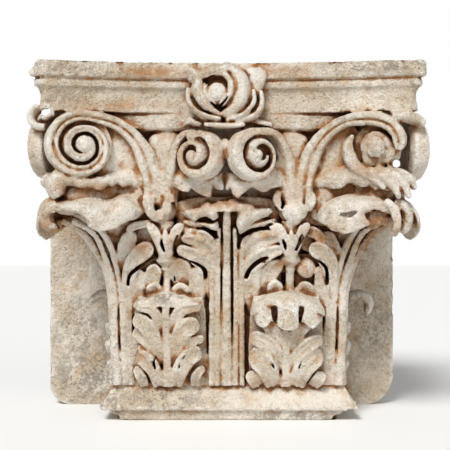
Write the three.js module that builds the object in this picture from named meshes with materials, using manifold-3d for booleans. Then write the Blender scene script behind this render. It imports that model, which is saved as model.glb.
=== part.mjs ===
// A Corinthian pilaster capital, carved with its backing slab from one block of marble.
// Units are millimetres, +Z is up and the carved front looks along -Y. While it is being built, x = 0 is the
// capital's axis, y = 0 the face of the pilaster behind the leaves, and z = 0 the bed it stands on.
import * as THREE from 'three';
import { mergeVertices } from 'three/addons/utils/BufferGeometryUtils.js';
import Module from 'manifold-3d';

const wasm = await Module();
wasm.setup();

// ---------------------------------------------------------------- driving dimensions
const HEIGHT = 566;            // bed to the top of the abacus
const SLAB_FRONT = 130;        // pilaster face to the front of the backing slab
const BACK = 200;              // pilaster face to the wall face of the slab
const SLAB_LEFT = -311;        // the slab reaches a little further left than right
const SLAB_RIGHT = 289;
const BODY_HALF = 182;         // half-width of the pilaster
const NECK_TOP = 52;           // where the smooth apron ends and the leaves begin
const CORNER_SUM = 176;        // x + y on the diagonal plane through each front corner, at leaf height
const HORN_SUM = 197;          // the same at volute height, under the horns of the abacus
const ABACUS_BOTTOM = 489;
const ABACUS_HALF = 303;       // half the width of the abacus over its top band
const ABACUS_HORN = -105;      // y of the abacus's front edge at the horns
const ABACUS_SAG = 38;         // how far that edge curves back to the middle
const LIP_HEIGHT = 25;         // lip of the bell, under the abacus
const BAY = 97;                // axis to the middle of each bay, with its low leaf and its leaf stalk

const LEFT = -1;
const RIGHT = 1;
const FRONT = [0, -1, 0];

// ---------------------------------------------------------------- shapes from three.js, joined by manifold-3d
// The value at t, from 0 to 1, on a smooth line through evenly spaced values.
function along(values, t) {
  const last = values.length - 1;
  if (last === 0) return values[0];
  const k = Math.min(Math.floor(t * last), last - 1);
  const f = t * last - k;
  const p1 = values[k];
  const p2 = values[k + 1];
  const p0 = values[Math.max(k - 1, 0)];
  const p3 = values[Math.min(k + 2, last)];
  const m1 = (p2 - p0) / 2;
  const m2 = (p3 - p1) / 2;
  const f2 = f * f;
  const f3 = f2 * f;
  return (2 * f3 - 3 * f2 + 1) * p1 + (f3 - 2 * f2 + f) * m1 + (3 * f2 - 2 * f3) * p2 + (f3 - f2) * m2;
}

function geometryOf(points, triangles) {
  const geometry = new THREE.BufferGeometry();
  geometry.setAttribute('position', new THREE.Float32BufferAttribute(points.flatMap((p) => [p.x, p.y, p.z]), 3));
  geometry.setIndex(triangles);
  return geometry;
}

// A closed skin over rings of equally many points, with a fan over each end.
function skin(rings) {
  const n = rings[0].length;
  const points = rings.flat();
  const triangles = [];
  for (let k = 0; k + 1 < rings.length; k++) {
    for (let i = 0; i < n; i++) {
      const a = k * n + i;
      const b = k * n + ((i + 1) % n);
      triangles.push(a, b, b + n, a, b + n, a + n);
    }
  }
  for (const [k, flip] of [[0, true], [rings.length - 1, false]]) {
    const middle = rings[k].reduce((sum, p) => sum.add(p), new THREE.Vector3()).divideScalar(n);
    points.push(middle);
    for (let i = 0; i < n; i++) {
      const a = k * n + i;
      const b = k * n + ((i + 1) % n);
      triangles.push(...(flip ? [points.length - 1, b, a] : [points.length - 1, a, b]));
    }
  }
  return geometryOf(points, triangles);
}

// Cross-sections as points across the strip (-1 to 1) and through it (-1 back, 1 face); a third number marks the
// points that the groove sinks.
const ROUND = [[-1, 0], [-0.5, 0.9], [0.5, 0.9], [1, 0], [0.5, -0.9], [-0.5, -0.9]];
const BACKED = [[-1, -0.6], [-0.55, 1], [0.55, 1], [1, -0.6]];
const CHANNEL = [[-1, -0.8], [-0.8, 1], [-0.2, 1, 1], [0.4, 1, 1], [0.8, 1], [1, -0.8]];

// A carved strip along a smooth path. half is its half-width and thick its thickness along the way; cup bends
// its edges towards the face, and groove sinks the middle of the CHANNEL section.
function strip({ path, steps = 6, face = FRONT, half, thick, cup = [0], groove = [0], section = BACKED }) {
  const curve = new THREE.CatmullRomCurve3(path.map((p) => new THREE.Vector3(...p)), false, 'catmullrom', 0.5);
  const normal = new THREE.Vector3(...face);
  const rings = [];
  for (let k = 0; k <= steps; k++) {
    const t = k / steps;
    const centre = curve.getPoint(t);
    const tangent = curve.getTangent(t);
    normal.addScaledVector(tangent, -normal.dot(tangent)).normalize();
    const across = new THREE.Vector3().crossVectors(tangent, normal);
    const w = Math.max(along(half, t), 0.6);
    const h = Math.max(along(thick, t), 1.2) / 2;
    rings.push(section.map(([a, b, sunk = 0]) => {
      const rise = b * h + along(cup, t) * w * a * a - sunk * along(groove, t);
      return centre.clone().addScaledVector(across, a * w).addScaledVector(normal, rise);
    }));
  }
  return solid(skin(rings));
}

// A manifold-3d solid from a closed geometry.
function solid(geometry) {
  geometry.deleteAttribute('normal');
  geometry.deleteAttribute('uv');
  const merged = mergeVertices(geometry, 1e-4);
  const vertProperties = new Float32Array(merged.attributes.position.array);
  const triVerts = new Uint32Array(merged.index.array);
  let made = new wasm.Manifold(new wasm.Mesh({ numProp: 3, vertProperties, triVerts }));
  if (made.volume() < 0) {
    for (let i = 0; i < triVerts.length; i += 3) {
      [triVerts[i + 1], triVerts[i + 2]] = [triVerts[i + 2], triVerts[i + 1]];
    }
    made = new wasm.Manifold(new wasm.Mesh({ numProp: 3, vertProperties, triVerts }));
  }
  return made;
}

// An egg-shaped lump, or the hollow that one leaves.
function lump([x, y, z], [rx, ry, rz], round = 6, tall = 4) {
  const geometry = new THREE.SphereGeometry(1, round, tall);
  geometry.scale(rx, ry, rz);
  geometry.translate(x, y, z);
  return solid(geometry);
}

// A block whose rings are rectangles: each level is [z, left, right, front, back].
function tower(levels) {
  const ring = ([z, left, right, front, back]) => [
    new THREE.Vector3(left, front, z), new THREE.Vector3(right, front, z),
    new THREE.Vector3(right, back, z), new THREE.Vector3(left, back, z),
  ];
  return solid(skin(levels.map(ring)));
}

const flipX = (side, path) => path.map(([x, y, z]) => [side * x, y, z]);
// The same path seen in the diagonal plane x + y = sum of a corner: a front piece becomes a side piece.
const roundCorner = (path, sum) => path.map(([x, y, z]) => [sum - y, sum - x, z]);

// ---------------------------------------------------------------- slab, pilaster, base
function slab() {
  const outline = new THREE.Shape();
  outline.moveTo(SLAB_LEFT + 34, 0);
  outline.lineTo(SLAB_RIGHT - 46, 0);
  outline.quadraticCurveTo(SLAB_RIGHT - 6, 8, SLAB_RIGHT, 52);
  outline.lineTo(SLAB_RIGHT, HEIGHT);
  outline.lineTo(SLAB_LEFT, HEIGHT);
  outline.lineTo(SLAB_LEFT, 38);
  outline.quadraticCurveTo(SLAB_LEFT + 4, 8, SLAB_LEFT + 34, 0);
  const depth = BACK - SLAB_FRONT;
  const geometry = new THREE.ExtrudeGeometry(outline, { depth, bevelEnabled: false, curveSegments: 5 });
  geometry.rotateX(Math.PI / 2);
  geometry.translate(0, BACK, 0);
  return solid(geometry);
}

function pilaster() {
  const b = SLAB_FRONT + 5;
  return tower([
    [0, -178, 174, -12, b], [4, -184, 178, -15, b], [15, -186, 182, -15, b], [15.5, -204, 206, -22, b],
    [26, -206, 208, -24, b], [27, -202, 204, -21, b], [38, -194, 197, -13, b], [NECK_TOP, -188, 190, -5, b],
    [62, -BODY_HALF, BODY_HALF, 0, b], [360, -BODY_HALF, BODY_HALF, 0, b],
    [420, -190, 190, -12, b], [ABACUS_BOTTOM - LIP_HEIGHT - 6, -204, 204, -30, b],
    [ABACUS_BOTTOM - LIP_HEIGHT, -216, 216, -44, b], [ABACUS_BOTTOM, -218, 218, -46, b],
    [ABACUS_BOTTOM + 10, -218, 218, -46, b],
  ]);
}

// ---------------------------------------------------------------- abacus
// Its mouldings from the bottom up: height, and how far each line is set in from the top band.
const ABACUS_LINES = [
  [ABACUS_BOTTOM, 14], [510, 16], [523, 13], [525, 5], [538, 5], [541, 0], [HEIGHT, 0],
];

function abacus() {
  const arc = 8;
  const rings = ABACUS_LINES.map(([z, inset]) => {
    const half = ABACUS_HALF - inset;
    const ring = [];
    for (let i = 0; i <= arc; i++) {
      const u = -1 + (2 * i) / arc;
      const x = u * (half - 9);
      ring.push(new THREE.Vector3(x, ABACUS_HORN + inset + ABACUS_SAG * (1 - u * u), z));
    }
    const side = [[half, -0.06], [half - 14, 0.45], [half - 20, 1]];
    const sideY = (s) => ABACUS_HORN + inset + 9 + s * (SLAB_FRONT + 5 - ABACUS_HORN - inset - 9);
    for (const [x, s] of side) ring.push(new THREE.Vector3(x, sideY(Math.max(s, 0)), z));
    for (const [x, s] of side.toReversed()) ring.push(new THREE.Vector3(-x, sideY(Math.max(s, 0)), z));
    return ring;
  });
  return solid(skin(rings));
}

// ---------------------------------------------------------------- volutes and helices
// A point of a scroll's plane: u towards the outer edge, w up, lift out of the face. turned swings the plane about
// the vertical, outer edge forward; on a return face the plane is seen mirrored in the diagonal of the corner.
function onScroll({ side, centre, turned, corner }, u, w, lift) {
  const [cx, cy, cz] = centre;
  const x = cx + Math.cos(turned) * u - Math.sin(turned) * lift;
  const y = cy - Math.sin(turned) * u - Math.cos(turned) * lift;
  const point = corner ? [HORN_SUM - y, HORN_SUM - x, cz + w] : [x, y, cz + w];
  return [side * point[0], point[1], point[2]];
}

function faceOf({ side, turned, corner }) {
  const [x, y] = [-Math.sin(turned), -Math.cos(turned)];
  return corner ? [-side * y, -x, 0] : [side * x, y, 0];
}

// A scroll: a channelled band that leaves its stalk and winds inwards. radii are its outer radii at each quarter
// turn, and start counts the quarter turns past the top where it begins.
function scroll(plane, { radii, stalk = [], start = 0, share = 0.38, rise = 8, thick = 26, steps }) {
  const lead = plane.corner ? roundCorner(stalk, HORN_SUM) : stalk;
  const path = flipX(plane.side, lead);
  const quarters = radii.length - 1;
  for (let k = 0; k <= quarters * 3; k++) {
    const t = k / (quarters * 3);
    const angle = ((1 - start - t * quarters) * Math.PI) / 2;
    const r = along(radii, t) * (1 - share / 2);
    path.push(onScroll(plane, r * Math.cos(angle), r * Math.sin(angle), rise * t));
  }
  const bands = radii.map((r) => (r * share) / 2);
  const half = stalk.length ? [14, 14, ...bands] : bands;
  const face = faceOf(plane);
  return strip({ path, steps, section: CHANNEL, thick: [thick], groove: [4, 4, 3, 2, 1, 0], face, half });
}

// The solid disc a scroll stands on, and the boss at its middle.
function discAndEye(plane, radius, eye) {
  const disc = new THREE.CylinderGeometry(radius, radius, 14, 10);
  const [x, y] = faceOf(plane);
  disc.rotateZ(Math.atan2(x, -y));
  disc.translate(...onScroll(plane, 0, 0, 0));
  return [solid(disc), lump(onScroll(plane, 0, 0, 12), [eye, eye, eye])];
}

function volutes(side) {
  const broken = side === RIGHT;
  const front = { side, centre: broken ? [228, -86, 431] : [221, -86, 436], turned: 0.24, corner: false };
  const back = { ...front, corner: true };
  const stalk = [[112, -44, 350], [117, -50, 392], [134, -56, 430], [160, -63, 460], [188, -72, 476]];
  const bands = broken
    ? [
      scroll(front, { radii: [56, 47], stalk, steps: 10, rise: 2 }),
      scroll(front, { radii: [50, 51, 50], start: 1.7, steps: 5, rise: 0 }),
      scroll(front, { radii: [28, 27, 26, 22], start: 1, steps: 6, rise: 6 }),
    ]
    : [scroll(front, { radii: [54, 60, 50, 39, 31, 29, 25], stalk, steps: 18 })];
  return [
    ...bands, scroll(back, { radii: [54, 56, 50, 39], stalk, steps: 11 }),
    ...discAndEye(front, broken ? 34 : 46, broken ? 16 : 14), ...discAndEye(back, 44, 14),
    // the curled piece that bridges the two volutes under the horn of the abacus
    strip({
      path: flipX(side, [[270, -72, 492], [290, -80, 484], [292, -80, 470], [278, -76, 462]]), steps: 3,
      half: [9, 10, 9, 7], thick: [34],
    }),
  ];
}

function helix(side) {
  const plane = { side, centre: side === RIGHT ? [42, -84, 420] : [47, -84, 421], turned: 0.55, corner: false };
  const stalk = [[108, -44, 350], [103, -50, 392], [92, -56, 428], [74, -64, 452]];
  return [
    scroll(plane, { radii: [43, 44, 38, 28, 25], stalk, steps: 12, share: 0.42, rise: 14, thick: 22 }),
    ...discAndEye(plane, 30, 10),
  ];
}

// ---------------------------------------------------------------- leaves
// One finger of a leaf: a tapering strip, scooped a little, that follows the points given.
function finger(path, half, thick = 10, cup = 0.3, steps = 3) {
  return strip({ path, steps, half, thick: [thick * 1.2, thick, thick * 0.8], cup: [0, cup] });
}

// The broad tip of a leaf, bent over like an umbrella: a strip that runs across it, rolled back at both edges.
function bentTip(path, half, roll = -0.5, steps = 6, thick = 12) {
  return strip({ path, steps, half, thick: [thick * 0.6, thick, thick, thick * 0.6], cup: [roll], section: ROUND });
}

function cornerLeaf(side) {
  const ribs = [
    [
      [180, -4, 52], [182, -9, 150], [184, -12, 205], [191, -20, 245], [200, -38, 280], [214, -62, 308],
      [246, -88, 324],
    ],
    [[166, -6, 54], [168, -10, 150], [171, -14, 205], [177, -24, 245], [188, -42, 285], [202, -66, 315]],
    [[155, -4, 58], [158, -8, 150], [162, -12, 195], [165, -18, 225]],
  ];
  const widths = [[9, 8, 7, 6, 5, 6], [5, 5, 5, 6, 5], [5, 5, 6, 3]];
  const made = [];
  ribs.forEach((rib, i) => {
    const shape = { steps: 5, half: widths[i], thick: [14, 12, 10] };
    made.push(strip({ path: flipX(side, rib), ...shape }));
    const turned = flipX(side, roundCorner(rib, CORNER_SUM));
    if (i < 2) made.push(strip({ path: turned, face: [side, 0, 0], ...shape }));
  });
  // the body of the leaf behind the ribs, folded round the corner
  made.push(strip({
    path: flipX(side, [
      [172, 8, 60], [174, 6, 200], [180, 0, 255], [198, -20, 300], [228, -52, 330], [262, -86, 338],
    ]),
    steps: 6, face: [side, -1, 0], section: ROUND,
    half: [18, 20, 26, 40, 44, 26], thick: [16, 14, 14], cup: [-0.4, -0.5, -0.6],
  }));
  return made;
}

// The overhanging tip of a corner leaf: one wing along the front, one along the side, and the curl between.
function cornerTip(side) {
  const wing = side === RIGHT
    ? [[134, -52, 330], [150, -78, 332], [180, -96, 332], [212, -104, 338], [242, -106, 346], [262, -100, 334]]
    : [[132, -52, 342], [150, -80, 340], [180, -98, 334], [208, -104, 336], [236, -104, 345], [272, -98, 336]];
  const drop = side === RIGHT ? [10, 26, 30, 22, 10, 20] : [8, 20, 28, 22, 10, 12];
  return [
    bentTip(flipX(side, wing), drop),
    strip({
      path: flipX(side, roundCorner(wing, CORNER_SUM)), steps: 5, face: [side, 0, 0], half: [10, 24, 28, 22, 18, 14],
      thick: [7, 12, 12, 8], cup: [-0.5],
    }),
    lump([side * 268, -92, 326], [16, 22, 19]),
  ];
}

function centreLeaf() {
  const rib = (x, half, top, out) => strip({
    path: [[x, -6, 54], [x * 0.98, -13, 150], [x * 0.95, -17, 220], [x * 0.9, -28, 270], [x * 0.8, out, top]],
    steps: 5, half, thick: [14, 13, 12],
  });
  // the broken curl at its head, and the two sides of it that droop
  const head = [[-68, -56, 332], [-40, -70, 336], [0, -80, 341], [36, -72, 338], [66, -56, 334]];
  const droop = [[-66, -46, 312], [-34, -58, 320], [0, -60, 324], [30, -58, 320], [64, -46, 318]];
  return [
    rib(-3, [10, 8, 7, 6], 342, -70), rib(-18.5, [4, 4.5, 4, 2], 300, -40), rib(-27.5, [4, 4, 4, 2], 250, -22),
    rib(13, [4, 4, 4, 2], 300, -40), rib(22.5, [4, 4, 4, 2], 262, -24),
    bentTip(head, [5, 9, 12, 9, 5], -0.4, 6, 18),
    bentTip(droop, [6, 9, 8, 9, 5], -0.4, 4, 14),
  ];
}

// The fingers that the tall leaves spread into a bay, given for the right bay and mirrored for the left.
function bayFingers(side) {
  const own = side === RIGHT ? 0 : -5;
  const shift = (path) => flipX(side, path.map(([x, y, z]) => [x + (x > 100 ? 0 : own), y, z]));
  const fingers = [
    // from the centre leaf
    [[[25, -8, 205], [32, -18, 245], [52, -30, 269], [82, -36, 279]], [8, 12, 13, 8]],
    [[[21, -12, 235], [27, -28, 270], [40, -40, 292], [66, -44, 300]], [7, 10, 11, 6]],
    // from the corner leaf
    [[[162, -8, 205], [158, -20, 240], [144, -32, 264], [122, -36, 282]], [8, 12, 16, 10]],
    [[[172, -14, 248], [166, -26, 275], [154, -34, 296], [142, -38, 304]], [8, 12, 12, 6]],
    // the cluster of lobes above the low leaf, beside the stem
    [[[150, -6, 190], [148, -16, 222], [143, -26, 246]], [10, 12, 7]],
    [[[124, -8, 196], [122, -20, 226], [117, -30, 252]], [13, 14, 10]],
    [[[52, -6, 190], [50, -18, 226], [52, -26, 250]], [9, 11, 6]],
    [[[78, -8, 196], [75, -20, 228], [78, -30, 254]], [13, 14, 10]],
  ];
  return fingers.map(([path, half]) => finger(shift(path), half, 13, 0.25, 3));
}

// The stem in a bay with its collar and cup, and the thick stalk above that splits into helix and volute.
function leafStalk(side) {
  const x = side * (BAY + 2);
  const profile = [
    [0, 205], [7, 205], [6, 240], [9, 246], [8, 250], [17, 254], [16, 262], [11, 268], [17, 300], [19, 316], [0, 318],
  ];
  const stem = new THREE.LatheGeometry(profile.map(([r, z]) => new THREE.Vector2(r, z)), 8);
  stem.rotateX(Math.PI / 2);
  stem.translate(x, -24, 0);
  return [
    solid(stem),
    strip({
      path: [[x + side * 4, -34, 312], [x + side * 6, -44, 335], [x + side * 8, -50, 365], [x + side * 5, -52, 396]],
      steps: 4, half: [15, 23, 22, 17], thick: [26, 30, 28],
    }),
  ];
}

function lowLeafFingers(side, cx) {
  const fingers = [
    [[[10, -18, 112], [12, -30, 155], [22, -40, 182], [52, -42, 187]], [5, 8, 10, 6]],
    [[[12, -16, 96], [20, -28, 128], [35, -36, 149], [52, -34, 151]], [8, 15, 17, 10]],
    [[[15, -12, 60], [23, -22, 86], [38, -28, 104], [54, -22, 110]], [9, 13, 16, 9]],
  ];
  return fingers.map(([path, half]) => finger(path.map(([u, y, z]) => [cx + side * u, y, z]), half, 14));
}

function lowLeaf(cx) {
  const level = (z, half, front) => [z, cx - half, cx + half, front, 5];
  return [
    tower([level(53, 50, -5), level(120, 54, -12), level(175, 52, -22), level(196, 46, -28)]),
    strip({
      path: [[cx, -14, 54], [cx, -26, 120], [cx - 1, -36, 175], [cx - 1, -44, 196]], steps: 5,
      half: [8, 6, 5.5, 5], thick: [16, 14, 12],
    }),
    ...lowLeafFingers(LEFT, cx), ...lowLeafFingers(RIGHT, cx),
  ];
}

// The head of the left low leaf is broken off flat; the right one still bends over in three lobes.
function lowLeafHeads() {
  const broken = [[-148, -30, 190], [-120, -40, 193], [-97, -44, 194], [-70, -42, 194], [-44, -34, 190]];
  const whole = [[36, -26, 182], [56, -44, 186], [93, -54, 188], [130, -44, 186], [152, -26, 182]];
  const lobes = [[54, -46, 12, 17], [93, -54, 22, 20], [131, -46, 13, 18]];
  return [
    bentTip(broken, [5, 8, 9, 9, 8], -0.2, 4, 14),
    bentTip(whole, [8, 21, 22, 21, 8], -0.7, 6, 12),
    ...lobes.map(([x, y, rx, rz]) => lump([x, y, 174], [rx, 11, rz])),
  ];
}

// The two drilled hollows between the lobes of the right head.
function teardrops() {
  return [71, 115].map((x) => lump([x, -58, 177], [4.5, 12, 13], 6, 5));
}

// The small leaf on each side face, seen in profile from the front.
function sideLeaf(side) {
  const out = side === RIGHT ? 8 : 0;
  const curl = [
    [184, 62, 56], [190, 62, 120], [196, 62, 170], [212, 62, 198], [226 + out, 62, 200], [233 + out, 62, 186],
    [224, 62, 174],
  ];
  return [
    strip({
      path: flipX(side, curl), steps: 8, face: [side, 0, 0],
      half: [34, 34, 32, 26, 24, 20, 12], thick: [14, 12, 10], cup: [-0.05],
    }),
    ...[40, 84].map((y) => strip({
      path: flipX(side, [[186, y, 56], [196, y, 90], [197, y, 130], [196, y, 165]]),
      steps: 4, face: [side, 0, 0], half: [12, 16, 16, 8], thick: [14, 12, 10],
    })),
  ];
}

// The leaves that carry the volutes, with the ragged edge that hangs below the disc.
function voluteLeaf(side) {
  const sheet = side === RIGHT
    ? [[128, -50, 376], [165, -62, 378], [200, -76, 376], [236, -88, 378], [270, -96, 376], [283, -96, 366]]
    : [[130, -50, 384], [165, -62, 384], [200, -76, 382], [236, -88, 384], [262, -94, 382], [282, -92, 372]];
  const half = side === RIGHT ? [8, 11, 12, 14, 16, 8] : [8, 9, 10, 9, 13, 14];
  return [
    bentTip(flipX(side, sheet), half, -0.3, 5, 12),
    bentTip(flipX(side, roundCorner(sheet.slice(0, 5), CORNER_SUM + 14)), half, -0.3, 4, 12),
  ];
}

function helixLeaf(side) {
  const middle = side === RIGHT ? 4 : -4;
  const skirt = [
    [side * 8 + middle, -68, 376], [side * 26 + middle, -66, 372], [side * 50 + middle, -60, 374],
    [side * 76, -54, 380], [side * 92, -48, 386],
  ];
  return [bentTip(skirt, [8, 14, 13, 10, 5], -0.3, 5, 14)];
}

// ---------------------------------------------------------------- rose
function rose() {
  const petals = [
    [[[0, -86, 546], [26, -92, 541], [32, -94, 520], [16, -92, 494], [-8, -88, 478]], [8, 13, 13, 12, 7]],
    [[[-46, -84, 548], [-56, -88, 528], [-52, -90, 506], [-36, -90, 488], [-10, -88, 478]], [6, 10, 11, 10, 6]],
    [[[-60, -76, 548], [-40, -84, 551], [-14, -86, 552], [4, -84, 550]], [6, 11, 11, 8]],
    [[[24, -78, 556], [46, -80, 552], [56, -78, 536], [48, -80, 508]], [8, 12, 12, 8]],
    [[[-52, -80, 486], [-26, -84, 474], [6, -86, 472], [34, -84, 480], [50, -78, 498]], [6, 10, 10, 10, 6]],
  ];
  const calyx = [[-36, -74, 466], [0, -80, 465], [30, -76, 467], [62, -68, 470]];
  return [
    lump([-12, -64, 515], [52, 30, 48], 9, 5),
    lump([-20, -100, 516], [14, 14, 14]),
    ...petals.map(([path, half]) => finger(path, half, 18, 0.2, 4)),
    strip({ path: [[-66, -72, 474], [-44, -78, 480], [-36, -80, 484]], steps: 2, half: [3, 10, 8], thick: [16] }),
    strip({ path: calyx, steps: 3, half: [5, 6, 6, 4], thick: [16] }),
  ];
}

// ---------------------------------------------------------------- assembly
function everything() {
  return [
    slab(), pilaster(), abacus(),
    ...volutes(LEFT), ...volutes(RIGHT), ...helix(LEFT), ...helix(RIGHT),
    ...cornerLeaf(LEFT), ...cornerLeaf(RIGHT), ...cornerTip(LEFT), ...cornerTip(RIGHT),
    ...centreLeaf(), ...bayFingers(LEFT), ...bayFingers(RIGHT),
    ...leafStalk(LEFT), ...leafStalk(RIGHT),
    ...lowLeaf(-BAY), ...lowLeaf(BAY - 5), ...lowLeafHeads(),
    ...sideLeaf(LEFT), ...sideLeaf(RIGHT),
    ...voluteLeaf(LEFT), ...voluteLeaf(RIGHT), ...helixLeaf(LEFT), ...helixLeaf(RIGHT),
    ...rose(),
  ];
}

const joined = wasm.Manifold.union(everything());
const cut = joined.subtract(wasm.Manifold.union(teardrops()));
// The largest shell alone: small voids that the carving closes off are solid stone.
const body = cut.decompose().reduce((a, b) => (a.volume() > b.volume() ? a : b));

function meshOf(shape, name, material) {
  const { vertProperties, triVerts } = shape.getMesh();
  const geometry = new THREE.BufferGeometry();
  geometry.setAttribute('position', new THREE.BufferAttribute(new Float32Array(vertProperties), 3));
  geometry.setIndex(new THREE.BufferAttribute(new Uint32Array(triVerts), 1));
  geometry.computeBoundingBox();
  const { min, max } = geometry.boundingBox;
  geometry.translate(-(min.x + max.x) / 2, -(min.y + max.y) / 2, -min.z);
  const mesh = new THREE.Mesh(geometry, material);
  mesh.name = name;
  return mesh;
}

const marble = new THREE.MeshStandardMaterial({ color: 0xd9cfbf, roughness: 0.85, metalness: 0 });
const capital = new THREE.Group();
capital.add(meshOf(body, 'capital', marble));
export default capital;
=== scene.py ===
"""A weathered marble Corinthian pilaster capital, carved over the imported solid.

Everything is laid out in the carver's space, in millimetres: x from the capital's axis, y from the face of the
pilaster (negative towards the viewer) and z up from the bed. Strips that sweep along smooth paths make the leaves,
scrolls and ribs. They are fused into one skin, the drilled hollows and breaks are cut out, and the skin is worn.
"""

import math

import bmesh
import bpy
import numpy as np
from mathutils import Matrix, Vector
from mathutils.bvhtree import BVHTree


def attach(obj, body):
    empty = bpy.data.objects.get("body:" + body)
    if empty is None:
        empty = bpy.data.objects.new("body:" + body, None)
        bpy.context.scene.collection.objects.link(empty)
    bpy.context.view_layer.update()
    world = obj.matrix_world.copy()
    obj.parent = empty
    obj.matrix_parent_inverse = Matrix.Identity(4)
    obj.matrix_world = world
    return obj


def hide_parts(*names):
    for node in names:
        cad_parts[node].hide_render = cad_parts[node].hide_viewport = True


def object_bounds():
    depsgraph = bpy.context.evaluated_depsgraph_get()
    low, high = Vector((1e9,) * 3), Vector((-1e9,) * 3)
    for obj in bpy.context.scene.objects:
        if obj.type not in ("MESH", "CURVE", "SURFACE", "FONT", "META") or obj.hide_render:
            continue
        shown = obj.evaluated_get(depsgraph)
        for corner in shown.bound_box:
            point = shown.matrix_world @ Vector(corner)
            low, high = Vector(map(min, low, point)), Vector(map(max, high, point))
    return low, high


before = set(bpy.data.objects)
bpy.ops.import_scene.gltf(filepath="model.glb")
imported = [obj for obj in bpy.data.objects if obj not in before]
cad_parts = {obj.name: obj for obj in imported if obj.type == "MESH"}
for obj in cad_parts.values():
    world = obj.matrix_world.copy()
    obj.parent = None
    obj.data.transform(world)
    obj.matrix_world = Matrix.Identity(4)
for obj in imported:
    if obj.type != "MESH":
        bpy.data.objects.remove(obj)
CAD_LOW, CAD_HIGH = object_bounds()

# ---------------------------------------------------------------- driving dimensions, in millimetres
HEIGHT = 566.0
SLAB_FRONT = 130.0
BACK = 200.0
SLAB_LEFT = -311.0
SLAB_RIGHT = 289.0
BODY_HALF = 182.0
CORNER_SUM = 176.0
HORN_SUM = 197.0
ABACUS_BOTTOM = 489.0
ABACUS_HALF = 303.0
ABACUS_HORN = -105.0
ABACUS_SAG = 38.0
LIP_HEIGHT = 25.0
BAY = 97.0
GRAIN = 1.35     # size of the cells that fuse the carving
TRIANGLES = 195000

LEFT, RIGHT = -1, 1
FRONT = (0.0, -1.0, 0.0)
SHIFT = np.array([CAD_LOW[0] * 1000 - SLAB_LEFT, CAD_HIGH[1] * 1000 - BACK, 0.0])


def in_frame(points):
    """Carver's millimetres to the frame's metres."""
    return (np.asarray(points, float) + SHIFT) / 1000


# ---------------------------------------------------------------- smooth lines and noise
def spline(values, t):
    """A Catmull-Rom line through evenly spaced values, read at every t from 0 to 1."""
    v = np.asarray(values, float)
    if v.ndim == 1:
        v = v[:, None]
    if len(v) == 1:
        return np.repeat(v, len(t), axis=0)
    padded = np.vstack([2 * v[0] - v[1], v, 2 * v[-1] - v[-2]])
    at = np.clip(np.asarray(t) * (len(v) - 1), 0, len(v) - 1 - 1e-9)
    k = at.astype(int)
    f = (at - k)[:, None]
    p0, p1, p2, p3 = padded[k], padded[k + 1], padded[k + 2], padded[k + 3]
    m1, m2 = (p2 - p0) / 2, (p3 - p1) / 2
    return ((2 * f**3 - 3 * f**2 + 1) * p1 + (f**3 - 2 * f**2 + f) * m1
            + (3 * f**2 - 2 * f**3) * p2 + (f**3 - f**2) * m2)


def smoothstep(low, high, x):
    t = np.clip((x - low) / (high - low), 0, 1)
    return t * t * (3 - 2 * t)


LATTICE = np.random.RandomState(7).rand(32, 32, 32)


def noise(points, scale, seed=0):
    """Smooth value noise from -1 to 1 with features about scale millimetres across."""
    p = np.asarray(points, float) / scale + seed * 7.31
    cell = np.floor(p).astype(int)
    f = p - cell
    f = f * f * (3 - 2 * f)
    total = np.zeros(len(p))
    for dx in (0, 1):
        for dy in (0, 1):
            for dz in (0, 1):
                weight = (np.abs(1 - dx - f[:, 0]) * np.abs(1 - dy - f[:, 1]) * np.abs(1 - dz - f[:, 2]))
                total += weight * LATTICE[(cell[:, 0] + dx) % 32, (cell[:, 1] + dy) % 32, (cell[:, 2] + dz) % 32]
    return total * 2 - 1


# ---------------------------------------------------------------- the carver's kit
STONE, CUTS = [], []


def keep(points, faces, cut=False):
    (CUTS if cut else STONE).append((np.asarray(points, float), faces))


def section(square, wide, high):
    """Evenly spaced points (across, up) round a rounded box that is wide and high, each scaled to run from -1 to 1."""
    angle = np.linspace(0, 2 * math.pi, 1500)
    a = np.sign(np.cos(angle)) * np.abs(np.cos(angle)) ** (2 / square)
    b = np.sign(np.sin(angle)) * np.abs(np.sin(angle)) ** (2 / square)
    length = np.concatenate([[0], np.cumsum(np.hypot(np.diff(a) * wide, np.diff(b) * high))])
    m = int(np.clip(length[-1] / (GRAIN * 1.5), 12, 72))
    at = np.arange(m) / m * length[-1]
    return np.interp(at, length, a), np.interp(at, length, b)


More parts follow.
